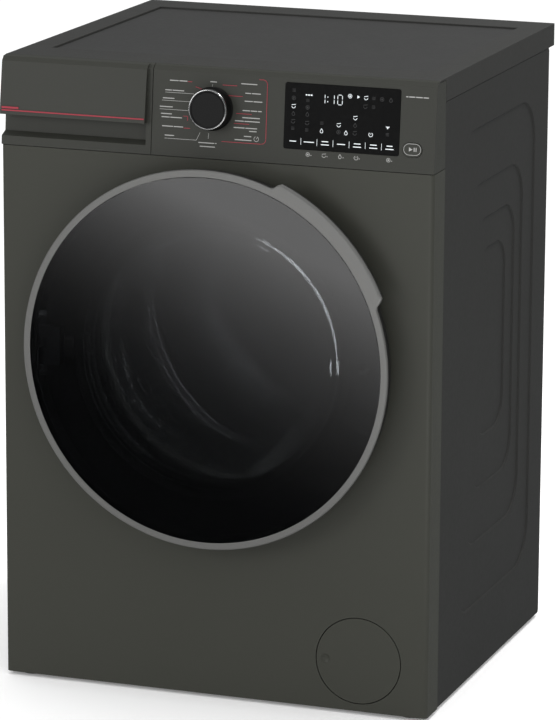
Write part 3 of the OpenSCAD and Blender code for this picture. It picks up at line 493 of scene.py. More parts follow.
def turned(bm, profile, centre=drum_axis, steps=128, axis=(0, 1, 0), closed=True):
    """Spins [radius, place along the axis] points about a line through centre along Y or Z."""
    along_z = axis[2] == 1
    points = [(centre.x + r, centre.y, h) if along_z else (centre.x + r, h, centre.z)
              for r, h in profile]
    bmesh.ops.spin(bm, geom=chain(bm, points, closed), cent=centre, axis=axis, angle=tau,
                   steps=steps, use_merge=True)


def arc(centre, radius, start, end, count):
    """Points of an arc in the plane, its angles in degrees."""
    steps = [start + (end - start) * i / count for i in range(count + 1)]
    return [(centre[0] + radius * cos(radians(a)), centre[1] + radius * sin(radians(a)))
            for a in steps]


def standing(place, out):
    """Sets what is drawn along Z down at a place, so that it points along a direction."""
    return Matrix.Translation(Vector(place)) @ Vector(out).to_track_quat("Z", "Y").to_matrix().to_4x4()


def lathed(bm, profile, steps, closed=False):
    """Spins [radius, height] points about the Z axis."""
    bmesh.ops.spin(bm, geom=chain(bm, [(r, 0, h) for r, h in profile], closed), cent=(0, 0, 0),
                   axis=(0, 0, 1), angle=tau, steps=steps, use_merge=True)


def cylinder(bm, low, high, radius, segments=24, top_radius=None):
    """A closed cylinder or cone between two points."""
    low, high = Vector(low), Vector(high)
    bmesh.ops.create_cone(bm, cap_ends=True, segments=segments, radius1=radius,
                          radius2=radius if top_radius is None else top_radius,
                          depth=(high - low).length, matrix=standing((low + high) / 2, high - low))


def block(bm, place, size):
    """A box of a given size about a place."""
    return bmesh.ops.create_cube(bm, size=1, matrix=Matrix.Translation(place)
                                 @ Matrix.Diagonal((*size, 1)))


def grow_ring(bm, edges, marks):
    """Extrudes a ring of edges, and hands each new vertex the mark of the one it grew from."""
    made = bmesh.ops.extrude_edge_only(bm, edges=edges)["geom"]
    fresh = [item for item in made if isinstance(item, bmesh.types.BMVert)]
    grown = [item for item in made if isinstance(item, bmesh.types.BMEdge)]
    carried = {}
    for vert in fresh:
        roots = [edge.other_vert(vert) for edge in vert.link_edges]
        carried[vert] = next(marks[root] for root in roots if root in marks)
    return grown, carried


def screw(bm, place, out, radius=0.0042, height=0.0022):
    """A pan head screw with a round recess, its head standing out of a face."""
    before = set(bm.verts)
    lathed(bm, [(0, height * 0.45), (radius * 0.3, height * 0.45), (radius * 0.36, height),
                (radius * 0.7, height * 0.9), (radius, height * 0.45), (radius, 0)], 16)
    made = [v for v in bm.verts if v not in before]
    bmesh.ops.transform(bm, matrix=standing(place, out), verts=made)


# ---- Door ----

door_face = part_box("door_ring")[0].y
door_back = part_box("door_ring")[1].y
door_centre = Vector((0, 0, drum_axis.z))
window_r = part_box("door_window")[1].x
bezel_r = -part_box("door_ring")[0].x
grip_r = max(hypot(v.co.x, v.co.z - drum_axis.z) for v in nodes["door_ring"].data.vertices)
GRIP_FROM, GRIP_TO = radians(23), radians(66)
GRIP_RAMP = radians(2.6)


def grip_share(angle):
    """How far the grip has swollen out at an angle, from 0 to 1."""
    inside = min(angle - GRIP_FROM + GRIP_RAMP, GRIP_TO + GRIP_RAMP - angle) / GRIP_RAMP
    share = min(1, max(0, inside))
    return share * share * (3 - 2 * share)


BEZEL_DEPTH = 4 * MM


def swell_grip(bm):
    """Moves the outer edge out where the fingers go."""
    bmesh.ops.remove_doubles(bm, verts=bm.verts, dist=TOUCHING)
    root = window_r + 1.5 * MM
    for vert in bm.verts:
        radius = hypot(vert.co.x, vert.co.z - drum_axis.z)
        if radius > root:
            angle = atan2(vert.co.z - drum_axis.z, vert.co.x)
            share = (radius - root) / (bezel_r - root)
            grown = 1 + grip_share(angle) * share * (grip_r - bezel_r) / radius
            vert.co.x *= grown
            vert.co.z = drum_axis.z + (vert.co.z - drum_axis.z) * grown


def door_bezel(bm):
    """The bright bezel: a flat ring with a chamfered edge, swollen out where the fingers go."""
    inner = window_r + 0.3 * MM
    profile = [(inner, door_face + BEZEL_DEPTH), (inner, door_face + 0.6 * MM)]
    profile += arc((inner + 0.5 * MM, door_face + 0.5 * MM), 0.5 * MM, 180, 270, 3)
    profile += [(bezel_r - 1.5 * MM, door_face), (bezel_r - 1.2 * MM, door_face + 0.1 * MM),
                (bezel_r - 0.3 * MM, door_face + 1.0 * MM), (bezel_r, door_face + 1.8 * MM),
                (bezel_r, door_face + BEZEL_DEPTH)]
    turned(bm, profile, door_centre, steps=360)
    swell_grip(bm)


def door_skirt(bm):
    """The black side of the door behind the bezel, and the seat the window rests on."""
    inner = window_r + 0.3 * MM
    seat = door_face + 5.4 * MM
    turned(bm, [(inner, door_face + BEZEL_DEPTH), (bezel_r - 0.2 * MM, door_face + BEZEL_DEPTH),
                (bezel_r - 0.2 * MM, door_back - 0.6 * MM), (bezel_r - 0.8 * MM, door_back),
                (inner - 6.5 * MM, door_back), (inner - 6.5 * MM, seat), (inner, seat)],
           door_centre, steps=360)
    swell_grip(bm)


bezel = piece("door_bezel", "bezel", door_bezel, "door", sharp=30)
shade_evenly(bezel)
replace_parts(bezel, "door_ring")
piece("door_skirt", "door_black", door_skirt, "door", sharp=30)


def softened(points, rounds=3):
    """A run of points with its corners cut again and again, its ends kept."""
    for _ in range(rounds):
        cut = [points[0]]
        for a, b in zip(points, points[1:]):
            cut.append(tuple(0.75 * p + 0.25 * q for p, q in zip(a, b)))
            cut.append(tuple(0.25 * p + 0.75 * q for p, q in zip(a, b)))
        points = cut[:1] + cut[2:-1] + [points[-1]]
    return points


def glass_bowl(bm):
    """The door's glass bowl with its flat rim, its shoulder and wall smoothly curved."""
    low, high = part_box("door_glass")
    rim, front = high.x, low.y
    outer = [(0, 94), (62, 93.4), (128, 88), (148, 74), (160, 48), (168, 18), (172, 8), (174, 4.2)]
    inner = [(168.5, 0.2), (167, 6), (163, 17), (155, 47), (144, 70), (126, 83.5), (62, 88.2), (0, 89)]
    depth = (high.y - front) / (94 * MM)
    wide = (rim - 2 * MM) / (190 * MM)
    profile = [(r * wide * MM, front + y * depth * MM) for r, y in softened(outer)]
    profile += [(rim, front + 4 * MM), (rim, front)]
    profile += [(r * wide * MM, front + y * depth * MM) for r, y in softened(inner)]
    turned(bm, profile, door_centre, steps=180, closed=False)


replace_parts(piece("glass_bowl", "bowl_glass", glass_bowl, "door", sharp=50), "door_glass")


DOOR_SCREW_R = 0.222


def door_screws(bm):
    """Screws that hold the door's inner ring, seen when it stands open."""
    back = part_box("door_inner_ring")[1].y
    for i in range(8):
        screw(bm, round_drum(DOOR_SCREW_R, back, 22.5 + 45 * i), (0, 1, 0), 0.0036, 0.0018)


piece("door_screws", "zinc", door_screws, "door")


def hinge_screws(bm):
    low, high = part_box("hinge_bracket")
    for z in (low.z + 0.012, drum_axis.z - 0.012, drum_axis.z + 0.012, high.z - 0.012):
        screw(bm, (high.x - 0.008, front_y - 0.003, z), (0, -1, 0), 0.004, 0.002)


piece("hinge_screws", "zinc", hinge_screws, "cabinet")


# ---- Door seal ----

def seal_profile():
    """Half a bellow in [radius, depth behind the front panel], its folds rounded."""
    port_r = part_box("door_seal")[1].x - 6 * MM
    folds = [(6, -2.5), (6.2, -0.4), (3, -0.2), (3, 1.2), (6, 1.4), (6, 4), (-5.4, 7), (-7, 12),
             (-6.6, 22), (0, 27.5), (5.4, 31), (6, 33.4), (5, 36), (-2, 40), (-5.6, 43.6), (-5.6, 46),
             (-1, 52), (0, 56), (0, 74), (-3, 74), (-3, 57), (-5, 52), (-9.6, 47), (-9.6, 43),
             (-5, 38), (0.6, 33.8), (-3, 30.6), (-10, 24), (-12, 20), (-13.6, 14), (-15.2, 8),
             (-15.5, 4), (-15.2, 0.6), (-13.6, -1.6), (-11, -2.4), (-8, -2.5)]
    return [(port_r + r * MM, front_y + y * MM) for r, y in folds]


def door_bellow(bm):
    turned(bm, seal_profile(), steps=144)


bellow = piece("door_bellow", "seal_rubber", door_bellow, sharp=60)
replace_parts(bellow, "door_seal")
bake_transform(bellow)


def seal_wire(bm):
    """The wire ring that clamps the seal to the front panel."""
    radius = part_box("door_seal")[1].x - 2.2 * MM
    profile = arc((radius, front_y - 1.4 * MM), 0.9 * MM, 0, 315, 7)
    turned(bm, profile, steps=144)


piece("seal_wire", "zinc", seal_wire, "cabinet")


# ---- Side panels ----

STAMP_WALL = 0.0028                 # how far a pressed step's wall leans in
STAMP_DEPTH = 0.0022
SHEET = 0.0009
FOLD = 0.012
# Each pressed step's margins from the panel's front, rear, lower and upper edge, and its corner radius
STAMPS = [
    (0.070, 0.062, 0.097, 0.057, 0.062),
    (0.112, 0.109, 0.182, 0.135, 0.054),
    (0.148, 0.138, 0.253, 0.187, 0.046),
    (0.178, 0.172, 0.321, 0.231, 0.040),
]


def stamping_outlines(low, high):
    """Outlines of the pressed sheet from its fold to its middle, as [depth, margins, corner radius]."""
    outlines = [(FOLD, (0, 0, 0, 0), 0.004), (0.0016, (0, 0, 0, 0), 0.004)]
    for angle in (25, 50, 75, 90):
        inset = 0.0016 * (1 - cos(radians(angle)))
        outlines.append((0.0016 * (1 - sin(radians(angle))), (inset,) * 4, 0.004))
    for i, (front, rear, below, above, radius) in enumerate(STAMPS):
        for step in range(7):
            share = step / 6
            inset = STAMP_WALL * share
            fall = share * share * (3 - 2 * share)
            margins = tuple(margin + inset for margin in (front, rear, below, above))
            outlines.append((STAMP_DEPTH * (i + fall), margins, radius - inset))
    return outlines


def side_stamping(side):
    """Draws one side panel: a folded sheet with four nested pressed steps."""
    low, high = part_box("right_side_panel" if side > 0 else "left_side_panel")
    outer_x = high.x if side > 0 else low.x

    def build(bm):
        outlines = stamping_outlines(low, high)
        start_radius = outlines[0][2]
        bmesh.ops.create_grid(bm, x_segments=1, y_segments=1, size=0.5)
        size = (high.y - low.y, high.z - low.z, 1)
        bmesh.ops.scale(bm, vec=size, verts=bm.verts)
        bmesh.ops.bevel(bm, geom=bm.verts[:], offset=start_radius, segments=12, profile=0.5,
                        affect="VERTICES", material=-1)
        arms = {}
        for vert in bm.verts:
            signs = (1 if vert.co.x > 0 else -1, 1 if vert.co.y > 0 else -1)
            arm = (vert.co.x - signs[0] * (size[0] / 2 - start_radius),
                   vert.co.y - signs[1] * (size[1] / 2 - start_radius))
            arms[vert] = signs, (arm[0] / start_radius, arm[1] / start_radius)
        bmesh.ops.delete(bm, geom=bm.faces[:], context="FACES_ONLY")
        ring_edges = bm.edges[:]
        for i, (depth, (front, rear, below, above), radius) in enumerate(outlines):
            if i:
                ring_edges, arms = grow_ring(bm, ring_edges, arms)
            for vert, (signs, arm) in arms.items():
                edge_y = high.y - rear if signs[0] > 0 else low.y + front
                edge_z = high.z - above if signs[1] > 0 else low.z + below
                vert.co = (outer_x - side * depth, edge_y - signs[0] * radius + arm[0] * radius,
                           edge_z - signs[1] * radius + arm[1] * radius)
        bmesh.ops.contextual_create(bm, geom=ring_edges)
        bmesh.ops.solidify(bm, geom=bm.faces[:], thickness=-side * SHEET)

    return build


for side, name in ((1, "right_side"), (-1, "left_side")):
    # The side stampings wear the darker side paint, whose extra darkness is painted shade.
    stamping = piece(name + "_stamping", "side_steel", side_stamping(side), "cabinet", sharp=50)
    shade_evenly(stamping)
    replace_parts(stamping, name + "_panel")


# ---- Control fascia ----

def on_fascia(u, v, w=0.0):
    """Place in millimetres from the knob's foot: across, up the fascia and out of it."""
    return fascia_frame @ Matrix.Translation((u * MM, v * MM, w * MM))


def bar(bm, u0, v0, u1, v1, width, lift=0.0):
    """A thin printed line between two places on the fascia."""
    run = Vector((u1 - u0, v1 - v0, 0))
    turn = Matrix.Rotation(atan2(run.y, run.x), 4, "Z")
    size = Matrix.Diagonal((run.length * MM, width * MM, SKIN * 2, 1))
    bmesh.ops.create_cube(bm, size=1, matrix=on_fascia((u0 + u1) / 2, (v0 + v1) / 2, lift) @ turn @ size)


def dot(bm, u, v, radius, sides=16, lift=0.0, turn=0.0):
    """A thin filled disc, or a triangle or square with few sides."""
    spot = on_fascia(u, v, lift) @ Matrix.Rotation(radians(turn), 4, "Z")
    bmesh.ops.create_cone(bm, cap_ends=True, segments=sides, radius1=radius * MM,
                          radius2=radius * MM, depth=SKIN * 2, matrix=spot)


def ring(bm, u, v, radius, width, from_angle=0, to_angle=360, lift=0.0):
    """A thin ring or part of one, drawn as short bars."""
    count = max(6, int((to_angle - from_angle) / 15))
    spots = arc((u, v), radius, from_angle, to_angle, count)
    for a, b in zip(spots, spots[1:]):
        bar(bm, *a, *b, width, lift)


def words(bm, u, v, lengths, height=1.2, lift=0.0):
    """A row of plain dashes where a caption would stand."""
    for length in lengths:
        bar(bm, u, v, u + length, v, height, lift)
        u += length + 1.1


# Captions round the knob: where each row starts, its height and its dashes
LEFT_CAPTIONS = [
    (-60, 33.4, [12, 11]), (-66, 20.6, [9, 16]), (-69, 10, [16]), (-73, -1.2, [18]),
    (-71, -10.3, [15]), (-70, -14.6, [11, 16]), (-69, -26.4, [15, 13]), (-65, -38.2, [13]),
]
RIGHT_CAPTIONS = [
    (38.5, 34.8, [22]), (44.5, 22.9, [8, 12]), (44, 12.6, [11, 12]), (41.5, 0.4, [10, 9, 5]),
    (41.5, -8.8, [24]), (31.5, -13.4, [12, 21]), (30, -22.2, [15, 16]), (51.5, -26, [10]),
    (44.5, -32.8, [10]), (32, -37.8, [23]),
]
OTHER_CAPTIONS = [(-4, 34.8, [9]), (-18, -44.8, [22, 2]), (-16, -49.6, [21])]


def fascia_print(bm):
    """Captions, leader lines and small signs in light ink."""
    for u, v, lengths in LEFT_CAPTIONS + RIGHT_CAPTIONS + OTHER_CAPTIONS:
        words(bm, u, v, lengths)
    leaders = [[(-66, 17.6), (-27, 17.6), (-22.5, 15.4)], [(-70, 7), (-29, 7)],
               [(-73, -4.6), (-30, -4.6)], [(-65, -42.2), (-21, -42.2), (-16, -31.8)],
               [(-1, 31.6), (-1, 27)], [(-4.2, -32), (-4.6, -39.4)]]
    for line in leaders:
        for a, b in zip(line, line[1:]):
            bar(bm, *a, *b, 0.5)
    ring(bm, 61.5, -35.4, 3.2, 0.6, 110, 430)
    bar(bm, 61.5, -35.4, 63.8, -32.6, 0.6)


def fascia_red_print(bm):
    """Red bracket round the right-hand captions, and the short red pointers."""
    for u0, v0, u1, v1 in ((14, -41.5, 68, -41.5), (74.5, -35, 74.5, 35.5), (63, 41.5, 68.5, 41.5),
                           (13, 31.6, 33, 31.6), (18, 18.3, 41, 18.3), (33, -4, 54, -4),
                           (30, -17, 51, -17), (-35, 33, -29, 33), (-24, 27, -14, 24),
                           (-40, -12, -34, -12), (-39, -27.5, -30, -27.5), (-34, -12, -34, -18)):
        bar(bm, u0, v0, u1, v1, 0.7)
    ring(bm, 68.5, 35.5, 6, 0.7, 0, 90)
    ring(bm, 68.5, -35.5, 6, 0.7, 270, 360)


piece("fascia_print", "fascia", fascia_print, "cabinet", light_ink, merge=False)
piece("fascia_red_print", "fascia", fascia_red_print, "cabinet", red_ink, merge=False)


# ---- Display ----

display_spot = fascia_frame.inverted() @ middle("display_window")
display_u = display_spot.x / MM
display_v = display_spot.y / MM
display_top = reach("display_window", knob_spot, out_of_fascia) / MM

# Lit strokes of each figure: top, upper left, upper right, middle, lower left, lower right, bottom
SEGMENTS = {"0": "1110111", "1": "0010010"}


def figure(bm, sign, u, v, tall, lift):
    """One seven-stroke figure, its lower left corner at a place on the fascia."""
    wide = tall * 0.5
    half = tall / 2
    gap = tall * 0.07
    strokes = [(gap, tall, wide - gap, tall), (0, half + gap, 0, tall - gap),
               (wide, half + gap, wide, tall - gap), (gap, half, wide - gap, half),
               (0, gap, 0, half - gap), (wide, gap, wide, half - gap), (gap, 0, wide - gap, 0)]
    for lit, (u0, v0, u1, v1) in zip(SEGMENTS[sign], strokes):
        if lit == "1":
            bar(bm, u + u0, v + v0, u + u1, v + v1, tall * 0.065, lift)


def display_sign(bm, kind, u, v, lift):
    """A small plain sign on the display."""
    if kind == "ring":
        ring(bm, u, v, 2.4, 0.7, lift=lift)
        dot(bm, u, v, 1.1, lift=lift)
    elif kind == "play":
        dot(bm, u, v, 2.4, 3, lift, -90)
    elif kind == "cup":
        ring(bm, u, v, 2.4, 0.7, 180, 360, lift)
        bar(bm, u - 2.6, v + 1.6, u + 2.8, v + 2.4, 0.7, lift)
    elif kind == "drop":
        ring(bm, u, v - 0.6, 1.9, 0.7, 150, 390, lift)
        bar(bm, u - 1.6, v + 0.4, u, v + 3, 0.7, lift)
        bar(bm, u + 1.6, v + 0.4, u, v + 3, 0.7, lift)
    elif kind == "clock":
        ring(bm, u, v, 2.6, 0.7, 120, 420, lift)
        bar(bm, u, v, u, v + 1.6, 0.6, lift)
    elif kind == "funnel":
        bar(bm, u - 2.6, v + 1.8, u + 2.6, v + 1.8, 0.8, lift)
        dot(bm, u, v + 0.4, 1.8, 3, lift, 180)
    else:
        for k in (-1.5, 0, 1.5):
            bar(bm, u - 2.2, v + k, u + 2.2, v + k, 0.6, lift)


def display_lit(bm):
    """What glows on the display: the time left, the chosen options and the key captions."""
    top = display_top
    tall = 12.5
    for sign, u in (("1", -30), ("1", -17.5), ("0", -6.5)):
        figure(bm, sign, display_u + u, display_v + 18, tall, top)
    for v in (21, 27):
        dot(bm, display_u - 20, display_v + v, 0.7, 8, top)
    words(bm, display_u - 50, display_v + 28, [2.2, 2.2, 2.6], 1.6, top)
    signs = [("ring", 10, 30), ("play", 21, 29.6), ("cup", 31.5, 29), ("cup", -66, 12.5),
             ("drop", -27, -17), ("cup", -4, -8), ("drop", 6, -17.5), ("cup", 18, 2.5),
             ("clock", 39.5, -17.5), ("funnel", 62, -8)]
    for kind, u, v in signs:
        display_sign(bm, kind, display_u + u, display_v + v, top)
    rows = [[9], [14], [9, 0], [11], [9, 0], [9, 0], [8, 0]]
    for i, row in enumerate(rows):
        u = display_u + (i - 3) * 21.8
        words(bm, u - row[0] / 2, display_v - (30.5 if len(row) > 1 else 32.5), row[:1], 1.1, top)
        if len(row) > 1:
            words(bm, u - 5.5, display_v - 34.6, [11], 1.1, top)
    for i in range(6):
        u = display_u + (i - 2.5) * 21.8
        bar(bm, u, display_v - 28, u, display_v - 36.5, 0.5, top)


def display_dim(bm):
    """The unlit options, just visible behind the glass."""
    top = display_top
    spots = [(-66, v) for v in (33, 23, 3, -7, -16)] + [(-47, v) for v in (21, 12, 3, -8, -17)]
    spots += [(-27, -7), (-4, -17), (18, -7), (18, -17), (62, -16)]
    spots += [(42, 29), (53, 28.5), (65, 28), (31, 18), (42, 18)]
    kinds = ("stripes", "ring", "drop", "cup", "stripes")
    for i, (u, v) in enumerate(spots):
        display_sign(bm, kinds[i % 5], display_u + u, display_v + v, top)


def key_signs(bm):
    """Signs for the keys below the display, the caption above it and the start key's signs."""
    kinds = ("ring", "cup", "drop", "clock", "ring")
    for kind, i in zip(kinds, (1, 2, 3, 4, 6)):
        display_sign(bm, kind, display_u + (i - 3) * 21.8 - 1, display_v - 48.5, 0)
        dot(bm, display_u + (i - 3) * 21.8 + 3.4, display_v - 49.5, 0.7, 8)
    words(bm, display_u + 85, display_v + 34, [3, 8, 9, 7], 1.4)


piece("display_lit_signs", "display_glass", display_lit, "cabinet", lit_segment, merge=False)
piece("display_dim_signs", "display_glass", display_dim, "cabinet", dim_segment, merge=False)
piece("key_signs", "fascia", key_signs, "cabinet", light_ink, merge=False)


# ---- Start button ----

start_spot = fascia_frame.inverted() @ middle("start_button")
start_u = start_spot.x / MM
start_v = start_spot.y / MM + 0.4
start_top = reach("start_button", knob_spot, out_of_fascia) / MM


def start_signs(bm):
    """A pill outline with the start and pause signs."""
    half_wide = (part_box("start_button")[1].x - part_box("start_button")[0].x) / 2 / MM - 1.6
    round_r = 7.2
    straight = half_wide - round_r
    for v in (-round_r, round_r):
        bar(bm, start_u - straight, start_v + v, start_u + straight, start_v + v, 0.6, start_top)
    ring(bm, start_u + straight, start_v, round_r, 0.6, -90, 90, start_top)
    ring(bm, start_u - straight, start_v, round_r, 0.6, 90, 270, start_top)
    dot(bm, start_u - 2.8, start_v, 3.1, 3, start_top, -90)
    for u in (2.6, 5.2):
        bar(bm, start_u + u, start_v - 2.6, start_u + u, start_v + 2.6, 1.3, start_top)


piece("start_signs", "fascia", start_signs, "button", light_ink, merge=False)


# ---- Programme knob ----

knob_top = reach("programme_knob", knob_spot, out_of_fascia)


def knob_ring(bm):
    """The bright ring round the knob's face, spun about the knob's axis."""
    profile = [(24.3, -1.1), (24.4, 0.1), (24.7, 0.35), (25.3, 0.4), (25.8, 0.2), (26.15, -0.3),
               (26.35, -1.2), (26.4, -2.0), (25.6, -2.0), (25, -0.6)]
    lathed(bm, [(r * MM, knob_top + h * MM) for r, h in profile], 96, closed=True)
    bmesh.ops.transform(bm, matrix=fascia_frame, verts=bm.verts)


piece("knob_ring", "knob_black", knob_ring, "knob", chrome, sharp=30)


# ---- Drawer ----

def drawer_stripe(bm):
    """The red line just above the lower edge of the drawer's proud block, and its thicker start."""
    verts = nodes["drawer_front"].data.vertices
    proud_y = min(v.co.y for v in verts)
    lower_z = min(v.co.z for v in verts if v.co.y < proud_y + 0.0005)
    low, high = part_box("drawer_front")
    left = low.x + 3 * MM
    for right, z, tall in ((high.x - 7.2 * MM, 5.6 * MM, 1.7 * MM), (left + 24 * MM, 9.2 * MM, 2.6 * MM)):
        block(bm, ((right + left) / 2, proud_y + 0.23 * MM, lower_z + z), (right - left, 0.5 * MM, tall))


def tray_marks(bm):
    """Raised filling lines on the compartments' walls."""
    low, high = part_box("drawer_tray")
    for i in range(3):
        z = low.z + (16 + 12 * i) * MM
        block(bm, (high.x - 2.05 * MM, low.y + 60 * MM, z), (0.5 * MM, 12 * MM, 0.8 * MM))


piece("tray_marks", "blue_plastic", tray_marks, "drawer", merge=False)


# ---- Drum ----

drum_low, drum_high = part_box("drum_shell")
drum_r = drum_high.x
MOUTH_R = 0.188
HOLE_PITCH = 0.016
HOLE = 0.0044                       # across the flats of a hole
HOLE_CORNER = 0.29 * HOLE           # what is cut off each of its corners


def drum_skin(bm):
    """A perforated sheet rolled into the drum's wall, with its rolled mouth and pressed back."""
    front, back = drum_low.y + 0.012, drum_high.y - 0.010
    around = round(tau * drum_r / HOLE_PITCH)
    along = round((back - front) / HOLE_PITCH)
    bmesh.ops.create_grid(bm, x_segments=around, y_segments=along, size=0.5)
    bmesh.ops.scale(bm, vec=(tau * drum_r, back - front, 1), verts=bm.verts)
    cells = [f for f in bm.faces if abs(f.calc_center_median().y) < (back - front) / 2 - HOLE_PITCH]
    bmesh.ops.inset_individual(bm, faces=cells, thickness=(HOLE_PITCH - HOLE) / 2, use_even_offset=True)
    corners = list({v for f in cells for v in f.verts})
    bmesh.ops.bevel(bm, geom=corners, offset=HOLE_CORNER, segments=1, profile=0.5, affect="VERTICES",
                    material=-1)
    holes = [f for f in bm.faces if f.calc_area() < HOLE * HOLE * 1.05]
    bmesh.ops.delete(bm, geom=holes, context="FACES_ONLY")
    middle_y = (front + back) / 2
    for vert in bm.verts:
        angle = vert.co.x / drum_r
        vert.co = Vector((drum_r * sin(angle), middle_y + vert.co.y, drum_axis.z + drum_r * cos(angle)))
    mouth = [(drum_r, front), (drum_r, front - 4 * MM), (drum_r - 4 * MM, drum_low.y + 2 * MM),
             (drum_r - 10 * MM, drum_low.y), (MOUTH_R + 4 * MM, drum_low.y),
             (MOUTH_R + 1 * MM, drum_low.y + 1 * MM), (MOUTH_R, drum_low.y + 4 * MM)]
    turned(bm, mouth, steps=around, closed=False)
    rear = [(drum_r, back), (drum_r, drum_high.y - 6 * MM), (drum_r - 5 * MM, drum_high.y - 1 * MM),
            (drum_r - 12 * MM, drum_high.y), (0.150, drum_high.y), (0.144, drum_high.y - 4 * MM),
            (0.062, drum_high.y - 4 * MM), (0.056, drum_high.y), (0, drum_high.y)]
    turned(bm, rear, steps=around, closed=False)


skin = piece("drum_skin", "stainless", drum_skin, "drum", sharp=50)
gauge = skin.modifiers.new("sheet", "SOLIDIFY")
gauge.thickness = 0.7 * MM
gauge.offset = -1
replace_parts(skin, "drum_shell")


def lifter_pips(bm):
    """Rows of small bumps along each lifter's crest."""
    low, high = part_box("drum_lifters")
    crest = drum_r - 44 * MM
    for a in (90, 210, 330):
        across = Vector((cos(radians(a)), 0, -sin(radians(a))))
        for i in range(9):
            y = low.y + 0.03 + i * (high.y - low.y - 0.06) / 8
            spot = Vector((0, y, drum_axis.z)) + across * (crest - 0.4 * MM)
            cylinder(bm, spot + across * 1.5 * MM, spot - across * 1.0 * MM, 0.004, 12, 0.0022)


piece("lifter_pips", "white_plastic", lifter_pips, "drum")


# ---- Springs, hoses and clamps ----

def coil_springs(bm):
    """Two helical springs from the cabinet's braces down to the tub."""
    low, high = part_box("suspension_springs")
    coil_r, wire_r, turns, per_turn = 6.6 * MM, 1.3 * MM, 16, 20
    centre_x = high.x - 8 * MM
    y = (low.y + high.y) / 2
    rise = (high.z - low.z - 2 * wire_r) / (turns * per_turn)
    for side in (-1, 1):
        spot = Vector((side * centre_x, y, low.z + wire_r))
        made = bmesh.ops.create_circle(bm, cap_ends=True, segments=8, radius=wire_r,
                                       matrix=Matrix.Translation(spot + Vector((coil_r, 0, 0)))
                                       @ Matrix.Rotation(radians(90), 4, "X"))
        faces = list({f for v in made["verts"] for f in v.link_faces})
        bmesh.ops.spin(bm, geom=made["verts"] + faces, cent=spot, axis=(0, 0, 1),
                       dvec=(0, 0, rise), angle=tau * turns, steps=turns * per_turn)


springs = piece("coil_springs", "zinc", coil_springs, sharp=60)
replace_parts(springs, "suspension_springs")
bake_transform(springs)


def ribbed(low_z, high_z, radius, wall, pitch):
    """Outer and inner outline of a corrugated sleeve, in [radius, height]."""
    count = int((high_z - low_z - 0.02) / pitch)
    start = (low_z + high_z) / 2 - count * pitch / 2
    outer = [(radius, low_z), (radius, start)]
    for i in range(count):
        z = start + i * pitch
        outer += [(radius - 2.4 * MM, z + pitch * 0.25), (radius - 2.4 * MM, z + pitch * 0.5),
                  (radius, z + pitch * 0.75), (radius, z + pitch)]
    outer += [(radius, high_z)]
    return outer + [(r - wall, z) for r, z in reversed(outer)]


def dispenser_sleeve(bm):
    low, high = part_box("dispenser_hose")
    centre = middle("dispenser_hose")
    turned(bm, ribbed(low.z, high.z, high.x - centre.x, 0.9 * MM, 8 * MM),
           Vector((centre.x, centre.y, 0)), 48, (0, 0, 1))


sleeve = piece("dispenser_sleeve", "black_rubber", dispenser_sleeve, sharp=60)
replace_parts(sleeve, "dispenser_hose")
sleeve_low, sleeve_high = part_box("dispenser_hose")
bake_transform(sleeve)


def sump_sleeve(bm):
    """The ribbed hose from the tub's sump, across, round its bend and down to the pump."""
    low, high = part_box("sump_hose")
    radius = (high.y - low.y) / 2
    wall, rib, bend = 2 * MM, 1.8 * MM, 26 * MM
    across_z, down_x = high.z - radius, high.x - radius
    stations = [(low.x, 0), (low.x + 18 * MM, 0)]
    x = low.x + 18 * MM
    while x < down_x - bend - 10 * MM:
        stations += [(x + 2 * MM, rib), (x + 4 * MM, rib), (x + 6 * MM, 0), (x + 8 * MM, 0)]
        x += 8 * MM
    path = [(x, across_z, 0, sunk) for x, sunk in stations]
    for degrees in range(0, 91, 10):
        turn = radians(degrees)
        path.append((down_x - bend + bend * sin(turn), across_z - bend + bend * cos(turn), turn, 0))
    z = across_z - bend
    while z > low.z + 26 * MM:
        path += [(down_x, z - h * MM, pi / 2, sunk)
                 for h, sunk in ((2, rib), (4, rib), (6, 0), (8, 0))]
        z -= 8 * MM
    path.append((down_x, low.z, pi / 2, 0))
    walk = [(*stop, 0) for stop in path] + [(*stop, wall) for stop in reversed(path)]
    walk.append(walk[0])
    bmesh.ops.create_circle(bm, segments=28, radius=1)
    marks = {vert: vert.co.copy() for vert in bm.verts}
    edges = bm.edges[:]
    y = (low.y + high.y) / 2
    for i, (x, z, turn, sunk, inward) in enumerate(walk):
        if i:
            edges, marks = grow_ring(bm, edges, marks)
        reach_out = radius - sunk - inward
        for vert, mark in marks.items():
            side = mark.y * reach_out
            vert.co = (x + side * sin(turn), y + mark.x * reach_out, z + side * cos(turn))


sump = piece("sump_sleeve", "black_rubber", sump_sleeve, sharp=60)
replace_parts(sump, "sump_hose")
sump_low, sump_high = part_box("sump_hose")
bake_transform(sump)


def clamp_band(bm, centre, radius, along=(0, 0, 1)):
    """A flat steel band with its tightening screw."""
    before = set(bm.verts)
    half = 4.5 * MM
    outer = radius + 0.8 * MM
    lathed(bm, [(radius, -half), (outer, -half), (outer, half), (radius, half)], 48, closed=True)
    cylinder(bm, (radius + 3 * MM, -7 * MM, 0), (radius + 3 * MM, 7 * MM, 0), 2.6 * MM, 12)
    made = [v for v in bm.verts if v not in before]
    bmesh.ops.transform(bm, matrix=standing(centre, along), verts=made)


def dispenser_band(bm, z):
    """A band round the dispenser's sleeve at a height."""
    centre = middle("dispenser_hose")
    clamp_band(bm, (centre.x, centre.y, z), sleeve_high.x - centre.x + 0.1 * MM)


SUMP_REACH = 20 * MM                # from the sump hose's outside to its middle line
SUMP_BAND_R = SUMP_REACH + 0.1 * MM
sump_y = middle("sump_hose").y


def cabinet_clamps(bm):
    """Bands on the dispenser's outlet and on the pump's inlet."""
    dispenser_band(bm, sleeve_high.z - 8 * MM)
    clamp_band(bm, (sump_high.x - SUMP_REACH, sump_y, sump_low.z + 8 * MM), SUMP_BAND_R)


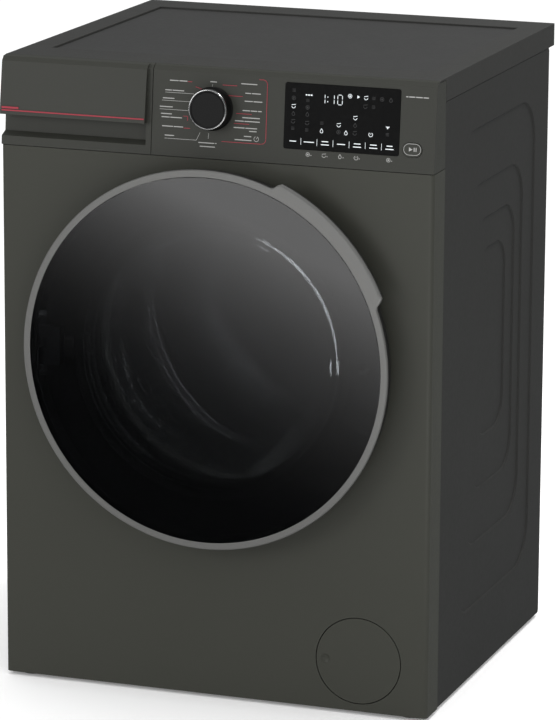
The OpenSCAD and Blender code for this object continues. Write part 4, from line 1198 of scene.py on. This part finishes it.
def tub_clamps(bm):
    """Bands on the tub's side of the hoses."""
    dispenser_band(bm, sleeve_low.z + 7 * MM)
    clamp_band(bm, (sump_low.x + 8 * MM, sump_y, sump_high.z - SUMP_REACH), SUMP_BAND_R, (1, 0, 0))


piece("cabinet_clamps", "zinc", cabinet_clamps, "cabinet")
piece("tub_clamps", "zinc", tub_clamps, "tub")


def tub_bolts(bm):
    """Bolts round the joint between the tub's halves, with none at its top and bottom."""
    low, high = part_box("tub_front")
    flange_r = -low.x - 5 * MM
    for i in range(24):
        degrees = 7.5 + 15 * i
        if abs(sin(radians(degrees))) < 0.9:
            spot = round_drum(flange_r, high.y, degrees)
            cylinder(bm, spot - Vector((0, 9 * MM, 0)), spot - Vector((0, 5.9 * MM, 0)), 3.6 * MM, 6)


piece("tub_bolts", "zinc", tub_bolts, "tub")


# ---- Rear and underside ----

rear_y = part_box("rear_panel")[1].y
FLUSH = -0.0001                     # a screw head of this height is a flat disc, level with its face


def rear_screws(bm):
    """Screws round the rear panel, its cover and the top."""
    low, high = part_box("rear_panel")
    for side in (-1, 1):
        for i in range(6):
            z = low.z + 0.03 + i * (high.z - low.z - 0.06) / 5
            screw(bm, (side * (high.x - 0.009), rear_y, z), (0, 1, 0))
    for x in (-0.2, 0, 0.2):
        screw(bm, (x, rear_y, high.z - 0.009), (0, 1, 0))
        screw(bm, (x, rear_y, low.z + 0.010), (0, 1, 0))
    cover_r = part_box("rear_cover")[1].x - 8 * MM
    for i in range(6):
        screw(bm, round_drum(cover_r, rear_y + 1 * MM, 30 + 60 * i), (0, 1, 0))
    top_low, top_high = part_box("top_frame")
    for side in (-1, 1):
        screw(bm, (side * 0.25, top_high.y, top_low.z + 0.012), (0, 1, 0), 0.004, FLUSH)


def foot_nuts(bm):
    """Lock nuts under the base, one on each foot's thread."""
    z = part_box("base_tray")[0].z
    for corner in ("front_left", "front_right", "rear_left", "rear_right"):
        spot = middle("foot_" + corner)
        cylinder(bm, (spot.x, spot.y, z - 2.9 * MM), (spot.x, spot.y, z - 0.05 * MM), 8 * MM, 6)


def rear_louvres(bm):
    """Raised vent louvres low on the rear panel."""
    for i in range(5):
        z = 0.13 + i * 0.018
        made = block(bm, (0.215, rear_y + 0.6 * MM, z), (0.09, 2.6 * MM, 0.007))
        top = [v for v in made["verts"] if v.co.y > rear_y and v.co.z > z]
        bmesh.ops.translate(bm, vec=(0, -1.2 * MM, 0), verts=top)


piece("foot_nuts", "zinc", foot_nuts, "cabinet")
# The louvres wear the darker side paint, whose extra darkness is painted shade.
louvres = piece("rear_louvres", "side_steel", rear_louvres, "cabinet")
rounded = louvres.modifiers.new("rounded edges", "BEVEL")
rounded.width = 0.8 * MM
rounded.segments = 2
piece("rear_screws", "zinc", rear_screws, "cabinet")
piece("drawer_stripe", "fascia", drawer_stripe, "drawer", red_ink, merge=False)
